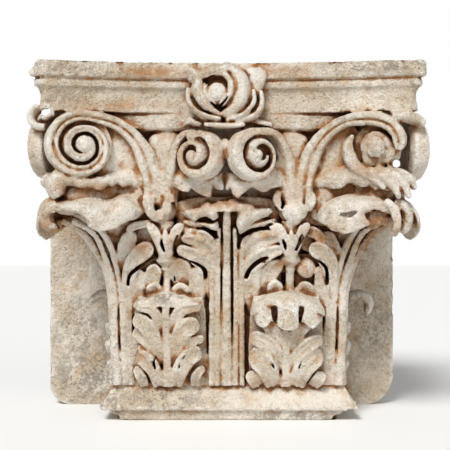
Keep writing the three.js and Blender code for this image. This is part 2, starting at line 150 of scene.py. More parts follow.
def sweep(path, half, thick, face=FRONT, cup=(0,), square=2.6, grooves=(), tip=True, flip=1, cut=False, fade=0.85):
    """A closed strip along a smooth path, round at its end. half and thick follow its half-width and thickness, cup bends its edges
    towards the face, square fills out its section, and grooves are (across, width, depth) channels in its face."""
    control = np.asarray(path, float)
    length = np.linalg.norm(np.diff(control, axis=0), axis=1).sum()
    n = max(int(length / (GRAIN * 1.4)), 6)
    t = np.linspace(0, 1, n + 1)
    centre = spline(control, t)
    tangent = np.gradient(centre, axis=0)
    tangent /= np.linalg.norm(tangent, axis=1)[:, None]
    normal = np.zeros_like(centre)
    last = np.asarray(face, float)
    for k in range(n + 1):
        last = last - tangent[k] * last.dot(tangent[k])
        last = last / np.linalg.norm(last)
        normal[k] = last
    across = np.cross(tangent, normal) * flip
    w = np.maximum(spline(half, t)[:, 0], 0.5)
    h = np.maximum(spline(thick, t)[:, 0], 1.0) / 2
    gone = np.concatenate([[0], np.cumsum(np.linalg.norm(np.diff(centre, axis=0), axis=1))])
    for left, last_half, rounded in ((gone[-1] - gone, w[-1], tip), (gone, w[0], tip and cut)):
        if rounded:
            rounding = np.sqrt(np.clip(1 - (1 - np.clip(left / max(last_half, 1.0), 0, 1)) ** 2, 0.02, 1))
            w = w * rounding
            h = h * np.sqrt(rounding)
    a, b = section(square, w.max(), h.max())
    m = len(a)
    rise = np.outer(h, b) + np.outer(spline(cup, t)[:, 0] * w, a * a)
    strength = 1 - smoothstep(fade, 1, t) if tip else np.ones_like(t)
    for at, width, depth in grooves:
        rise -= np.outer(strength, depth * np.exp(-(((a - at) / width) ** 2)) * np.clip(b * 2, 0, 1))
    rings = centre[:, None] + across[:, None] * np.outer(w, a)[..., None] + normal[:, None] * rise[..., None]
    points = np.concatenate([rings.reshape(-1, 3), centre[:1], centre[-1:]])
    faces = []
    for k in range(n):
        for i in range(m):
            j = (i + 1) % m
            faces.append((k * m + i, k * m + j, (k + 1) * m + j, (k + 1) * m + i))
    first, final = (n + 1) * m, (n + 1) * m + 1
    for i in range(m):
        j = (i + 1) % m
        faces.append((first, j, i))
        faces.append((final, n * m + i, n * m + j))
    keep(points, faces, cut)


def loft(rings, cut=False):
    """A closed skin over rings of equally many points."""
    rings = [np.asarray(r, float) for r in rings]
    m = len(rings[0])
    points = np.concatenate(rings + [rings[0].mean(0)[None], rings[-1].mean(0)[None]])
    faces = []
    for k in range(len(rings) - 1):
        for i in range(m):
            j = (i + 1) % m
            faces.append((k * m + i, k * m + j, (k + 1) * m + j, (k + 1) * m + i))
    first, final = len(rings) * m, len(rings) * m + 1
    for i in range(m):
        j = (i + 1) % m
        faces.append((first, j, i))
        faces.append((final, (len(rings) - 1) * m + i, (len(rings) - 1) * m + j))
    keep(points, faces, cut)


def plate(rim, crown, thick, bulge=2.2, furrow=0.0, cut=False):
    """A domed sheet with a free outline. rim holds the points round its front edge, crown the line along its top,
    and furrows run from the crown to the notches of the outline."""
    rim = np.asarray(rim, float)
    crown = np.asarray(crown, float).reshape(-1, 3)
    size = len(rim)
    perimeter = np.linalg.norm(rim - np.roll(rim, 1, axis=0), axis=1).sum()
    n = max(int(perimeter / (GRAIN * 1.8)), 24)
    at = np.arange(n) / n * size
    k, f = at.astype(int), (at % 1)[:, None]
    corner = [rim[(k + i) % size] for i in (-1, 0, 1, 2)]
    m1, m2 = (corner[2] - corner[0]) * 0.3, (corner[3] - corner[1]) * 0.3
    edge = ((2 * f**3 - 3 * f**2 + 1) * corner[1] + (f**3 - 2 * f**2 + f) * m1
            + (3 * f**2 - 2 * f**3) * corner[2] + (f**3 - f**2) * m2)
    spine = spline(crown, np.linspace(0, 1, 60)) if len(crown) > 1 else crown
    nearest = np.argmin(((edge[:, None, [0, 2]] - spine[None, :, [0, 2]]) ** 2).sum(2), axis=1)
    core = spine[nearest]
    reach = np.linalg.norm((edge - core)[:, [0, 2]], axis=1)
    window = max(int(n * 30 / perimeter), 3)
    smooth = sum(np.roll(reach, i) for i in range(-window, window + 1)) / (2 * window + 1)
    notch = np.clip((smooth - reach) / 6, -1, 1)
    rings = []
    levels = np.linspace(0, 1, max(int(reach.max() / (GRAIN * 1.8)), 6))
    for level in levels:
        ring = core + (edge - core) * level
        ring[:, 1] = edge[:, 1] + (core[:, 1] - edge[:, 1]) * (1 - level**bulge) + furrow * notch * level
        rings.append(ring)
    back = np.array([0, thick, 0])
    rings += [ring + back for ring in rings[::-1]]
    faces = []
    for k in range(len(rings)):
        for i in range(n):
            a, b = k * n, (k + 1) % len(rings) * n
            faces.append((a + i, a + (i + 1) % n, b + (i + 1) % n, b + i))
    keep(np.concatenate(rings), faces, cut)


def ball():
    made = bmesh.new()
    bmesh.ops.create_icosphere(made, subdivisions=4, radius=1.0)
    points = np.array([v.co[:] for v in made.verts])
    faces = [tuple(v.index for v in f.verts) for f in made.faces]
    made.free()
    return points, faces


BALL_POINTS, BALL_FACES = ball()


def lump(centre, radii, rough=0.0, seed=0, cut=False, lean=(0, 0, 0)):
    """An egg-shaped lump of stone, or the hollow one leaves; rough breaks up its surface."""
    points = BALL_POINTS * (1 + rough * noise(BALL_POINTS * 10, 6, seed)[:, None])
    points = points * np.asarray(radii, float)
    rx, ry, rz = (math.radians(v) for v in lean)
    turn_x = np.array([[1, 0, 0], [0, math.cos(rx), -math.sin(rx)], [0, math.sin(rx), math.cos(rx)]])
    turn_y = np.array([[math.cos(ry), 0, math.sin(ry)], [0, 1, 0], [-math.sin(ry), 0, math.cos(ry)]])
    turn_z = np.array([[math.cos(rz), -math.sin(rz), 0], [math.sin(rz), math.cos(rz), 0], [0, 0, 1]])
    points = points @ (turn_z @ turn_y @ turn_x).T
    keep(points + np.asarray(centre, float), BALL_FACES, cut)


def tower(levels, cut=False):
    """Rectangles stacked up: each level is (z, left, right, front, back)."""
    rings = []
    for z, left, right, front, back in levels:
        rings.append([(left, front, z), (right, front, z), (right, back, z), (left, back, z)])
    loft(rings, cut)


def drill(points, half, deep=30, lift=8):
    """A channel cut into the face along a path: half is its half-width on the way, deep how far in it goes."""
    path = [(x, y + deep / 2 - lift, z) for x, y, z in points]
    sweep(path, half, (deep,), square=3.2, cut=True, tip=True)


def mirror(side, path):
    return [(side * x, y, z) for x, y, z in path]


def round_corner(path, total):
    return [(total - y, total - x, z) for x, y, z in path]


# ---------------------------------------------------------------- slab, pilaster, base
def slab():
    outline = [(SLAB_RIGHT, HEIGHT), (SLAB_LEFT, HEIGHT)]
    for k in range(9):
        angle = math.pi + k * math.pi / 16
        outline.append((SLAB_LEFT + 36 + 36 * math.cos(angle), 34 + 34 * math.sin(angle)))
    for k in range(9):
        angle = -math.pi / 2 + k * math.pi / 16
        outline.append((SLAB_RIGHT - 48 + 48 * math.cos(angle), 54 + 54 * math.sin(angle)))
    loft([[(x, y, z) for x, z in outline] for y in (SLAB_FRONT, BACK)])


def pilaster():
    b = SLAB_FRONT + 5
    tower([
        (0, -176, 174, -11, b), (3, -183, 178, -14, b), (14, -186, 182, -15.5, b), (16, -187, 184, -15, b),
        (17, -203, 205, -21, b), (19, -206, 208, -23.5, b), (25, -206, 208, -24, b), (26.5, -203, 205, -21.5, b),
        (28, -203, 205, -21.5, b), (33, -198, 200, -17, b), (42, -192, 194, -10, b), (52, -187, 188, -4.5, b),
        (64, -BODY_HALF, BODY_HALF, 0, b), (200, -BODY_HALF, BODY_HALF, -4, b), (260, -BODY_HALF, BODY_HALF, -10, b),
        (330, -BODY_HALF, BODY_HALF, -18, b), (380, -184, 184, -20, b), (420, -191, 191, -22, b),
        (450, -202, 202, -28, b), (460, -206, 206, -32, b), (462, -216, 216, -52, b), (465, -218, 218, -57, b),
        (484, -220, 220, -60, b), (486, -217, 217, -57, b), (ABACUS_BOTTOM + 10, -217, 217, -57, b),
    ])
    for side in (LEFT, RIGHT):
        sweep(mirror(side, [(102, -46, 398), (98, -48, 420), (100, -44, 446), (102, -38, 462)]), (8, 18, 30, 34), (26,))


# ---------------------------------------------------------------- abacus
ABACUS_LINES = [
    (489, 12.5), (490, 11.5), (497, 12.5), (506, 14), (514, 14), (520, 13), (524, 11), (525.5, 10), (527, 6.5),
    (529, 5.8), (537, 6), (539, 8.5), (540.5, 8), (541.5, 1), (544, 0), (560, 0.3), (564, 1.0), (566, 3),
]


def abacus():
    rings = []
    for z, inset in ABACUS_LINES:
        half = ABACUS_HALF - inset
        u = np.linspace(-1, 1, 41)
        ring = [(v * (half - 9), ABACUS_HORN + inset + ABACUS_SAG * (1 - v * v), z) for v in u]
        start = ABACUS_HORN + inset + 9
        stretch = SLAB_FRONT + 5 - start
        side = [(half, 0.0), (half - 5, 0.1), (half - 12, 0.3), (half - 18, 0.6), (half - 20, 1.0)]
        ring += [(x, start + s * stretch, z) for x, s in side]
        ring += [(-x, start + s * stretch, z) for x, s in reversed(side)]
        rings.append(ring)
    loft(rings)


# ---------------------------------------------------------------- scrolls
class Plane:
    """The plane of a scroll: u runs to its outer edge, w up, and lift out of its face. On a return face the plane
    is seen mirrored in the diagonal of the corner."""

    def __init__(self, side, centre, turned, corner=False):
        self.side = side
        self.centre = centre
        self.turned = turned
        self.corner = corner

    def at(self, u, w, lift):
        cx, cy, cz = self.centre
        x = cx + math.cos(self.turned) * u - math.sin(self.turned) * lift
        y = cy - math.sin(self.turned) * u - math.cos(self.turned) * lift
        if self.corner:
            x, y = HORN_SUM - y, HORN_SUM - x
        return (self.side * x, y, cz + w)

    def face(self):
        x, y = -math.sin(self.turned), -math.cos(self.turned)
        if self.corner:
            x, y = -y, -x
        return (self.side * x, y, 0)

    def flip(self):
        return self.side * (-1 if self.corner else 1)


def spiral(plane, radii, bands, start=0.0, rise=(0, 8)):
    """Points along the middle of a winding band, from its outer radius and its width at each quarter turn."""
    quarters = len(radii) - 1
    points = []
    for t in np.linspace(0, 1, quarters * 4 + 1):
        angle = (1 - start - t * quarters) * math.pi / 2
        r = spline(radii, [t])[0, 0] - spline(bands, [t])[0, 0] / 2
        points.append(plane.at(r * math.cos(angle), r * math.sin(angle), rise[0] + (rise[1] - rise[0]) * t))
    return points


def scroll(plane, radii, bands, lead=(), lead_half=(), start=0.0, rise=(0, 8), thick=(26,), grooves=(), tip=False):
    if plane.corner:
        lead = round_corner(lead, HORN_SUM)
    winding = spiral(plane, radii, bands, start, rise)
    half = spline([b / 2 for b in bands], np.linspace(0, 1, len(winding)))[:, 0]
    sweep(
        mirror(plane.side, lead) + winding, list(lead_half) + list(half), thick, face=plane.face(), square=5,
        grooves=grooves, flip=plane.flip(), tip=tip,
    )


def disc(plane, radius, thick, lift=0.0):
    rings = []
    for level, r in ((-thick / 2, radius - 1), (thick / 2 - 1, radius), (thick / 2, radius - 1.5)):
        rings.append([
            plane.at(r * math.cos(k * math.pi / 32), r * math.sin(k * math.pi / 32), lift + level) for k in range(64)
        ])
    loft(rings)


VOLUTE_LEAD = [(120, -44, 345), (121, -50, 385), (130, -56, 420), (143, -60, 444), (162, -66, 463), (185, -74, 475)]
VOLUTE_LEAD_HALF = (12, 15, 15, 12.5, 10.5, 9.5)
WHORLS = [53, 59, 50, 38, 31, 33, 27, 18, 15]
WHORL_BANDS = [17, 20, 18, 15, 10.5, 11, 10, 6, 4]
GROOVED = ((0.1, 0.17, 5.5),)


def volutes():
    left = Plane(LEFT, (222, -86, 437), 0.24)
    scroll(left, WHORLS, WHORL_BANDS, VOLUTE_LEAD, VOLUTE_LEAD_HALF, rise=(0, 9), grooves=GROOVED)
    disc(left, 44, 12, -4)
    lump(left.at(0, 0, 12), (13.5, 11, 13.5))
    # the right volute has lost the end of its whorl, and its inner turn is a stump
    right = Plane(RIGHT, (228, -86, 432), 0.24)
    whorl = [(208, -86, 478), (229, -90, 476), (246, -94, 469), (257, -96, 457), (262, -96, 443), (261, -94, 430)]
    sweep(
        VOLUTE_LEAD + whorl, VOLUTE_LEAD_HALF + (11, 11, 11, 10, 9.5, 6), (28,), face=right.face(), square=5,
        grooves=((0.1, 0.16, 5.5),), tip=False,
    )
    crescent = [(191, 452), (184, 438), (186, 420), (195, 404), (210, 393), (228, 388), (248, 388)]
    sweep([(x, -84 - (x - 190) * 0.14, z) for x, z in crescent], (3, 7, 9.5, 10, 9.5, 9, 8), (28,), square=4)
    disc(right, 38, 12, -8)
    lump(right.at(1, -2, 2), (27, 12, 28), 0.16, 4)
    lump(right.at(0, 0, 14), (15, 12, 17), 0.05, 3)
    for side, front in ((LEFT, left), (RIGHT, right)):
        back = Plane(side, front.centre, 0.24, corner=True)
        scroll(back, WHORLS[:-1], WHORL_BANDS[:-1], VOLUTE_LEAD, VOLUTE_LEAD_HALF, rise=(0, 9), grooves=GROOVED)
        disc(back, 46, 14)
        lump(back.at(0, 0, 14), (13, 12, 13))
        # the flat web between the stalk and the scroll
        plate(
            mirror(side, [
                (112, -44, 372), (112, -44, 405), (130, -54, 440), (160, -64, 462), (190, -72, 470), (214, -74, 440),
                (214, -74, 392), (190, -70, 380), (150, -58, 374),
            ]),
            mirror(side, [(135, -52, 405), (185, -69, 425)]), 40,
        )
    # the curled pieces under the horns, which bridge the front volutes and the return ones
    sweep([(-280, -86, 464), (-294, -86, 466), (-301, -84, 475), (-299, -82, 486), (-290, -80, 496)], (5, 5.5, 5.5, 5.5, 6), (28,))
    sweep([(-266, -86, 485), (-276, -86, 481), (-284, -84, 476)], (5, 5, 4), (24,))
    sweep([(250, -88, 478), (272, -88, 480), (290, -84, 474), (298, -82, 466)], (9, 9, 8, 6), (32,))


def helices():
    """The two small scrolls in the middle, which curl towards each other. The left one is broken open at the top."""
    lead = [(-106, -44, 345), (-97, -50, 388), (-90, -58, 420), (-80, -64, 442), (-66, -72, 456)]
    lead_half = (13, 10, 8, 7, 6)
    right = Plane(LEFT, (-43, -86, 421), 0.5)
    scroll(
        right, [42, 46, 38, 29, 27, 22, 20, 16], [13, 18, 11, 6, 8.5, 8, 7, 4], lead, lead_half, rise=(-4, 10),
        thick=(28,), grooves=((-0.6, 0.2, 2),),
    )
    disc(right, 26, 12, -6)
    lump((44, -102, 420), (8.5, 9, 9.5), 0.02, 63)
    left_lead = [(-100, -44, 345), (-90, -50, 388), (-82, -58, 418), (-75, -64, 440), (-62, -72, 454)]
    left = Plane(RIGHT, (-47, -86, 421), 0.5)
    scroll(
        left, [38, 41, 37, 32, 25, 19, 18, 14], [11, 14, 14, 11, 8, 8, 7, 4], left_lead, lead_half, rise=(-4, 10),
        thick=(28,), grooves=((-0.6, 0.2, 2),),
    )
    disc(left, 26, 12, -6)
    lump((-56, -100, 419), (7.5, 9, 10), 0.08, 61)
    lump((-50, -92, 449), (13, 8, 7), 0.35, 62)
    # the bridge between them
    lump((-5, -84, 432), (9, 12, 15), 0.08, 64)


# ---------------------------------------------------------------- tall leaves
STRIP = ((0.0, 0.35, 1.2),)


def corner_leaf(side):
    outer = [(184, -2, 56), (183, -9, 150), (184, -13, 205), (190, -20, 242), (198, -34, 272), (210, -56, 302), (240, -84, 322)]
    middle = [(166, -2, 56), (168, -11, 150), (171, -14, 205), (177, -24, 245), (188, -42, 285), (202, -62, 312)]
    inner = [(156, -2, 56), (158, -10, 150), (162, -12, 195), (165, -18, 225)]
    for path, half in ((outer, (7, 6.5, 6.5, 6.5, 5, 4.5, 5)), (middle, (5.5, 5.5, 5, 5, 5, 4)), (inner, (5, 5, 5, 4))):
        sweep(mirror(side, path), half, (15, 13, 11), square=3, grooves=STRIP)
        sweep(mirror(side, round_corner(path, CORNER_SUM)), half, (15, 13, 11), face=(side, 0, 0), square=3, grooves=STRIP)
    body = [(172, 8, 60), (174, 6, 200), (180, 0, 255), (198, -20, 300), (228, -52, 330), (262, -86, 338)]
    sweep(mirror(side, body), (18, 20, 26, 40, 44, 26), (16, 14, 14), face=(side, -1, 0), cup=(-0.4, -0.5, -0.6))


def corner_masses():
    """The rough stone between each corner leaf and the volute above it."""
    for side in (LEFT, RIGHT):
        plate(
            mirror(side, [
                (118, -40, 322), (118, -40, 398), (160, -50, 402), (210, -60, 400), (250, -72, 396), (268, -80, 380),
                (272, -82, 345), (245, -72, 330), (200, -52, 318), (160, -40, 312),
            ]),
            mirror(side, [(150, -48, 360), (235, -72, 365)]), 60,
        )
        sweep(mirror(side, [(170, -5, 330), (212, -36, 355), (252, -76, 372)]), (30, 34, 22), (70, 60, 50), face=(side, -1, 0))
    lump((-150, -48, 352), (26, 14, 30), 0.35, 71)
    lump((150, -44, 352), (22, 12, 30), 0.3, 72)


def corner_tips():
    # the left leaf bends over like an awning with a wavy hem
    plate(
        [
            (-130, -62, 336), (-137, -60, 347), (-150, -60, 359), (-162, -62, 363), (-176, -64, 357), (-190, -66, 353),
            (-204, -68, 356), (-216, -70, 359), (-232, -74, 355), (-250, -80, 353), (-264, -86, 352), (-277, -92, 347),
            (-286, -96, 334), (-282, -98, 329), (-268, -104, 332), (-252, -106, 337), (-232, -106, 332),
            (-219, -106, 324), (-213, -105, 312), (-204, -103, 306), (-195, -102, 303), (-184, -100, 306),
            (-172, -96, 309), (-163, -92, 315), (-152, -86, 321), (-144, -80, 322), (-136, -72, 330),
        ],
        [(-150, -86, 337), (-178, -102, 326), (-205, -108, 327), (-235, -108, 341), (-268, -103, 339)], 13, 2.4, 3.0,
    )
    plate(
        [
            (138, -66, 326), (142, -64, 338), (150, -62, 348), (164, -62, 356), (180, -64, 361), (196, -66, 363),
            (212, -68, 362), (228, -74, 360), (244, -82, 352), (260, -92, 346), (263, -98, 337), (252, -106, 331),
            (236, -108, 334), (220, -109, 336), (206, -108, 331), (209, -108, 323), (214, -107, 316),
            (205, -106, 309), (194, -104, 306), (186, -103, 301), (176, -101, 300), (166, -97, 304), (158, -92, 306),
            (151, -86, 313), (142, -76, 317),
        ],
        [(158, -88, 333), (185, -106, 326), (205, -110, 340), (240, -108, 344)], 13, 2.4, 3.0,
    )
    for side in (LEFT, RIGHT):
        awning = [
            (130, -62, 336), (150, -60, 358), (190, -66, 356), (230, -76, 356), (258, -88, 350), (266, -98, 336),
            (240, -104, 330), (214, -104, 308), (195, -102, 303), (165, -94, 312), (142, -78, 322),
        ]
        turned = round_corner(awning, CORNER_SUM)
        path = [turned[0], turned[6], turned[8], turned[4]]
        sweep(mirror(side, path[:3]), (16, 26, 18), (12,), face=(side, -0.2, 0), cup=(-0.5,))
    # stone behind the broken edge of the right one
    lump((226, -84, 326), (30, 12, 15), 0.2, 77)
    # the rolled ends at the corners
    sweep([(-262, -92, 350), (-277, -90, 340), (-281, -88, 324), (-274, -88, 312), (-262, -86, 311)], (12, 13, 12, 9, 6), (14, 13, 10), face=(-1, -0.4, 0), cup=(0.3,))
    sweep([(240, -100, 347), (250, -108, 338), (255, -110, 322), (253, -106, 306), (247, -102, 299)], (12, 13, 12, 10, 6), (15, 14, 12), face=(0.9, -0.4, 0))
    sweep([(256, -86, 349), (270, -90, 342), (276, -90, 325), (272, -88, 309), (264, -84, 304)], (14, 15, 14, 11, 7), (15, 14, 12), face=(1, -0.3, 0))


def centre_leaf():
    def rib(x, half, top, out, grooves=STRIP):
        path = [(x, -4, 56), (x * 0.98, -15, 150), (x * 0.95, -22, 220), (x * 0.9, -34, 270), (x * 0.8, out, top)]
        sweep(path, half, (18, 16, 15), square=3.5, grooves=grooves)
    rib(-2.5, (9.5, 8, 7, 6.3, 6), 342, -72, ())
    rib(-17.3, (4.3, 4.5, 4.2, 3.8, 3), 312, -52)
    rib(-27.3, (4.4, 4.2, 4, 3.5, 2), 256, -28)
    rib(12.5, (4.2, 4.3, 4, 3.5, 3), 312, -52)
    rib(22.7, (4.4, 4.2, 4, 3.5, 2), 262, -28)
    # its broken head, and the layers that droop on both sides of it
    plate(
        [
            (-44, -60, 342), (-36, -62, 350), (-27, -62, 347), (-16, -62, 352), (-2, -62, 350), (6, -62, 354),
            (18, -62, 350), (32, -60, 347), (42, -58, 341), (34, -74, 336), (18, -80, 336), (0, -82, 334),
            (-14, -80, 335), (-26, -76, 333), (-36, -70, 336),
        ],
        [(-24, -78, 341), (24, -78, 342)], 26, 2.5, 2.0,
    )
    plate(
        [
            (-71, -52, 332), (-65, -54, 338), (-52, -60, 339), (-40, -66, 343), (-28, -68, 346), (-16, -68, 340),
            (-15, -66, 326), (-24, -66, 321), (-34, -68, 327), (-44, -66, 325), (-53, -62, 321), (-64, -56, 325),
        ],
        [(-58, -66, 334), (-24, -80, 337)], 22, 2.2, 3.0,
    )
    plate(
        [
            (-73, -44, 318), (-66, -48, 323), (-54, -52, 321), (-42, -56, 319), (-28, -60, 318), (-16, -60, 320),
            (-15, -56, 307), (-26, -56, 305), (-38, -56, 311), (-50, -54, 311), (-62, -50, 312),
        ],
        [(-58, -58, 318), (-26, -66, 313)], 20, 2.2, 2.0,
    )
    plate(
        [
            (15, -68, 340), (28, -68, 343), (42, -64, 339), (54, -60, 342), (64, -56, 341), (70, -52, 334),
            (62, -56, 327), (52, -60, 324), (42, -64, 320), (30, -66, 312), (18, -64, 305), (13, -64, 318),
        ],
        [(24, -78, 332), (58, -66, 335)], 22, 2.2, 3.0,
    )
    plate(
        [
            (16, -56, 306), (30, -60, 314), (46, -56, 320), (60, -52, 323), (74, -46, 325), (76, -44, 318),
            (64, -48, 313), (48, -50, 310), (32, -50, 305), (20, -48, 299),
        ],
        [(28, -64, 310), (62, -56, 318)], 18, 2.2, 2.0,
    )
    plate([(-80, -34, 300), (-78, -40, 350), (-40, -46, 358), (40, -46, 358), (76, -40, 350), (80, -34, 300), (40, -30, 290), (-40, -30, 290)], [(-40, -44, 330), (40, -44, 330)], 30)


# ---------------------------------------------------------------- the bays between the tall leaves
SCOOP = ((0.0, 0.45, 2.5),)


def finger(path, half, thick=(16, 14, 10), cup=(0, 0.35), grooves=SCOOP, square=3.2):
    """One lobe of a leaf, hollowed like a spoon towards its tip."""
    sweep(path, half, thick, cup=cup, grooves=grooves, square=square)


def left_bay():
    plate(
        [(-158, -8, 180), (-158, -18, 225), (-150, -26, 262), (-118, -26, 266), (-106, -16, 240), (-106, -8, 190)],
        [(-134, -14, 200), (-134, -22, 240)], 16,
    )
    plate(
        [(-92, -8, 185), (-92, -16, 225), (-92, -24, 262), (-60, -26, 272), (-40, -26, 256), (-30, -18, 235), (-34, -8, 185)],
        [(-66, -14, 205), (-62, -20, 240)], 16,
    )
    plate(
        [(-18, -16, 225), (-34, -26, 250), (-60, -32, 266), (-84, -34, 280), (-84, -38, 312), (-40, -40, 316), (-14, -34, 300)],
        [(-40, -34, 285)], 20,
    )
    plate(
        [(-166, -16, 240), (-150, -24, 262), (-118, -32, 276), (-112, -40, 312), (-112, -44, 340), (-170, -36, 335), (-186, -30, 300)],
        [(-145, -36, 300)], 20,
    )
    # the long lobe that leaves the corner leaf, with a hollow spoon at its end
    finger([(-158, -10, 150), (-160, -14, 200), (-156, -28, 240), (-143, -38, 266), (-120, -44, 284)], (5, 8, 12, 14, 13), (18, 16, 14, 10), (0, 0.2, 0.45))
    finger([(-172, -18, 245), (-164, -32, 272), (-156, -40, 292), (-147, -44, 303)], (8, 13, 13, 8), cup=(0, 0.4))
    finger([(-158, -44, 306), (-145, -50, 313), (-118, -52, 318)], (3, 6.5, 5), cup=(0.1,))
    # the clusters beside the stem
    finger([(-147, -8, 170), (-147, -20, 212), (-140, -28, 244)], (12, 14, 10))
    finger([(-124, -10, 200), (-120, -24, 232), (-116, -34, 252)], (12, 13, 11), cup=(0, 0.4))
    finger([(-118, -10, 192), (-117, -22, 212), (-115, -30, 222)], (13, 14, 11))
    finger([(-74, -10, 215), (-76, -26, 244), (-80, -36, 262)], (14, 18, 14), cup=(0, 0.4))
    finger([(-76, -10, 192), (-76, -22, 212), (-76, -28, 222)], (15, 15, 12))
    finger([(-50, -8, 176), (-50, -22, 222), (-52, -32, 248)], (13, 13, 10))
    # the fan of lobes from the centre leaf
    finger([(-24, -12, 200), (-30, -24, 242), (-50, -38, 265), (-80, -46, 279)], (10, 15, 13, 8), (18, 16, 12))
    finger([(-21, -14, 232), (-27, -34, 270), (-44, -46, 288), (-74, -52, 296)], (8, 11, 10, 6), (18, 16, 12))
    finger([(-19, -18, 258), (-25, -40, 285), (-36, -50, 300), (-50, -50, 304)], (6, 7, 6, 4), (18, 16, 12))
    lump((-62, -46, 305), (18, 9, 7), 0.25, 21)


def right_bay():
    plate(
        [(28, -8, 185), (26, -18, 230), (34, -26, 258), (60, -28, 272), (92, -24, 268), (92, -8, 190)],
        [(60, -14, 205), (60, -22, 245)], 16,
    )
    plate(
        [(102, -8, 185), (102, -18, 262), (130, -26, 268), (156, -24, 255), (160, -8, 185)],
        [(132, -14, 205), (132, -22, 240)], 16,
    )
    plate(
        [(16, -16, 225), (34, -26, 250), (60, -32, 266), (90, -34, 276), (92, -40, 312), (40, -40, 318), (14, -34, 300)],
        [(44, -34, 285)], 20,
    )
    plate(
        [(168, -16, 240), (150, -24, 262), (118, -30, 276), (114, -38, 312), (112, -42, 340), (165, -36, 330), (182, -30, 300)],
        [(145, -32, 300)], 20,
    )
    finger([(26, -12, 200), (34, -26, 244), (54, -40, 266), (86, -48, 279)], (10, 15, 13, 8), (18, 16, 12))
    finger([(22, -14, 232), (29, -34, 270), (48, -46, 289), (88, -54, 299)], (8, 11, 11, 8), (18, 16, 12))
    finger([(20, -18, 255), (27, -40, 286), (38, -50, 302), (54, -52, 305)], (6, 7, 6, 4), (18, 16, 12))
    finger([(56, -44, 301), (72, -54, 306), (90, -52, 307)], (5, 8, 6), cup=(0.1,))
    finger([(42, -8, 176), (38, -22, 222), (48, -32, 256)], (12, 13, 8))
    finger([(62, -10, 205), (66, -24, 238), (84, -36, 258)], (12, 14, 11), cup=(0, 0.4))
    finger([(76, -10, 195), (75, -22, 214), (75, -30, 226)], (13, 13, 11))
    lump((124, -26, 246), (15.5, 13, 16.5), 0.08, 23)
    finger([(122, -8, 190), (122, -20, 212), (120, -28, 224)], (16, 16, 12))
    finger([(149, -8, 170), (149, -20, 215), (147, -30, 250)], (12, 12, 9))
    finger([(160, -10, 150), (164, -14, 205), (162, -28, 245), (152, -38, 268), (130, -44, 284)], (5, 9, 13, 15, 12), (18, 16, 14, 10))
    finger([(176, -18, 248), (168, -32, 274), (160, -38, 292), (150, -40, 302)], (8, 11, 11, 8), cup=(0, 0.4))
    finger([(150, -38, 290), (135, -44, 302), (122, -44, 306)], (8, 9, 7), cup=(0.3,))


def leaf_stalk(side):
    x = side * (BAY + 1.5)
    rings = []
    for z, r in ((195, 7), (228, 6.5), (240, 7), (244, 9), (248, 8), (252, 12), (256, 16), (261, 16.5), (265, 13),
                 (272, 11.5), (290, 13), (305, 14), (320, 14)):
        y = -24 - 20 * max(0.0, (z - 230) / 90)
        ring = [(x + r * math.cos(k * math.pi / 12), y + r * math.sin(k * math.pi / 12), z) for k in range(24)]
        rings.append(ring)
    loft(rings)
    for lean in (LEFT, RIGHT):
        sweep([(x + lean * 4, -42, 266), (x + lean * 10, -52, 288), (x + lean * 20, -56, 308), (x + lean * 29, -54, 316)],
              (6, 8, 8, 3), (14, 12, 9), cup=(0, 0.3))
    sweep([(x, -44, 268), (x + 1, -56, 288), (x, -58, 306)], (6, 6.5, 2.5), (12, 10, 6), cup=(-0.2,))


def trunks():
    """The sheaths where a volute and a helix part: the left one is broken, the right one ends in a smooth drop."""
    plate(
        [
            (-103, -50, 403), (-112, -46, 418), (-124, -48, 428), (-142, -52, 405), (-138, -48, 385), (-133, -46, 362),
            (-130, -44, 345), (-122, -46, 330), (-116, -44, 318), (-104, -44, 312), (-92, -44, 316), (-84, -46, 328),
            (-80, -44, 345), (-80, -46, 362), (-76, -48, 385), (-76, -50, 405), (-86, -50, 424), (-94, -46, 418),
        ],
        [(-104, -62, 335), (-106, -60, 390)], 40, 3,
    )
    sweep([(-122, -50, 365), (-124, -60, 345), (-118, -58, 325)], (10, 10, 6), (18,))
    sweep([(-96, -50, 368), (-92, -62, 348), (-98, -60, 328)], (9, 9, 5), (18,))
    lump((-106, -56, 330), (15, 10, 12), 0.3, 73)
    plate(
        [
            (103, -50, 403), (92, -46, 418), (84, -48, 426), (72, -50, 405), (74, -48, 388), (78, -46, 370),
            (83, -44, 352), (79, -46, 336), (86, -46, 322), (104, -46, 315), (120, -46, 322), (126, -46, 336),
            (123, -44, 352), (130, -46, 368), (140, -50, 382), (146, -52, 405), (124, -50, 428), (114, -46, 418),
        ],
        [(104, -60, 335), (104, -58, 390)], 40, 3,
    )
    lump((104, -56, 335), (20, 11, 16), 0.03, 74)
    lump((104, -54, 326), (13, 9, 13), 0.03, 75)
    sweep([(80, -46, 368), (76, -56, 352), (84, -54, 336)], (5, 6, 4), (14,), cup=(0.3,))
    sweep([(128, -46, 368), (132, -56, 352), (126, -52, 336)], (5, 6, 4), (14,), cup=(0.3,))


# ---------------------------------------------------------------- low leaves
def lobes(centre, side, paths, **settings):
    for path, half in paths:
        finger([(centre + side * u, y, z) for u, y, z in path], half, **settings)


def low_leaf_body(cx, left, right):
    tower([
        (56, left, right, -6, 5), (120, left, right, -14, 5), (175, left + 2, right - 2, -24, 5),
        (200, left + 8, right - 8, -30, 5),
    ])
    stem = [(cx, -8, 56), (cx, -29, 115), (cx - 1, -42, 170), (cx - 1, -50, 194)]
    sweep(stem, (8.5, 6.5, 5.5, 6.5), (20, 18, 16), square=3.2, grooves=STRIP)


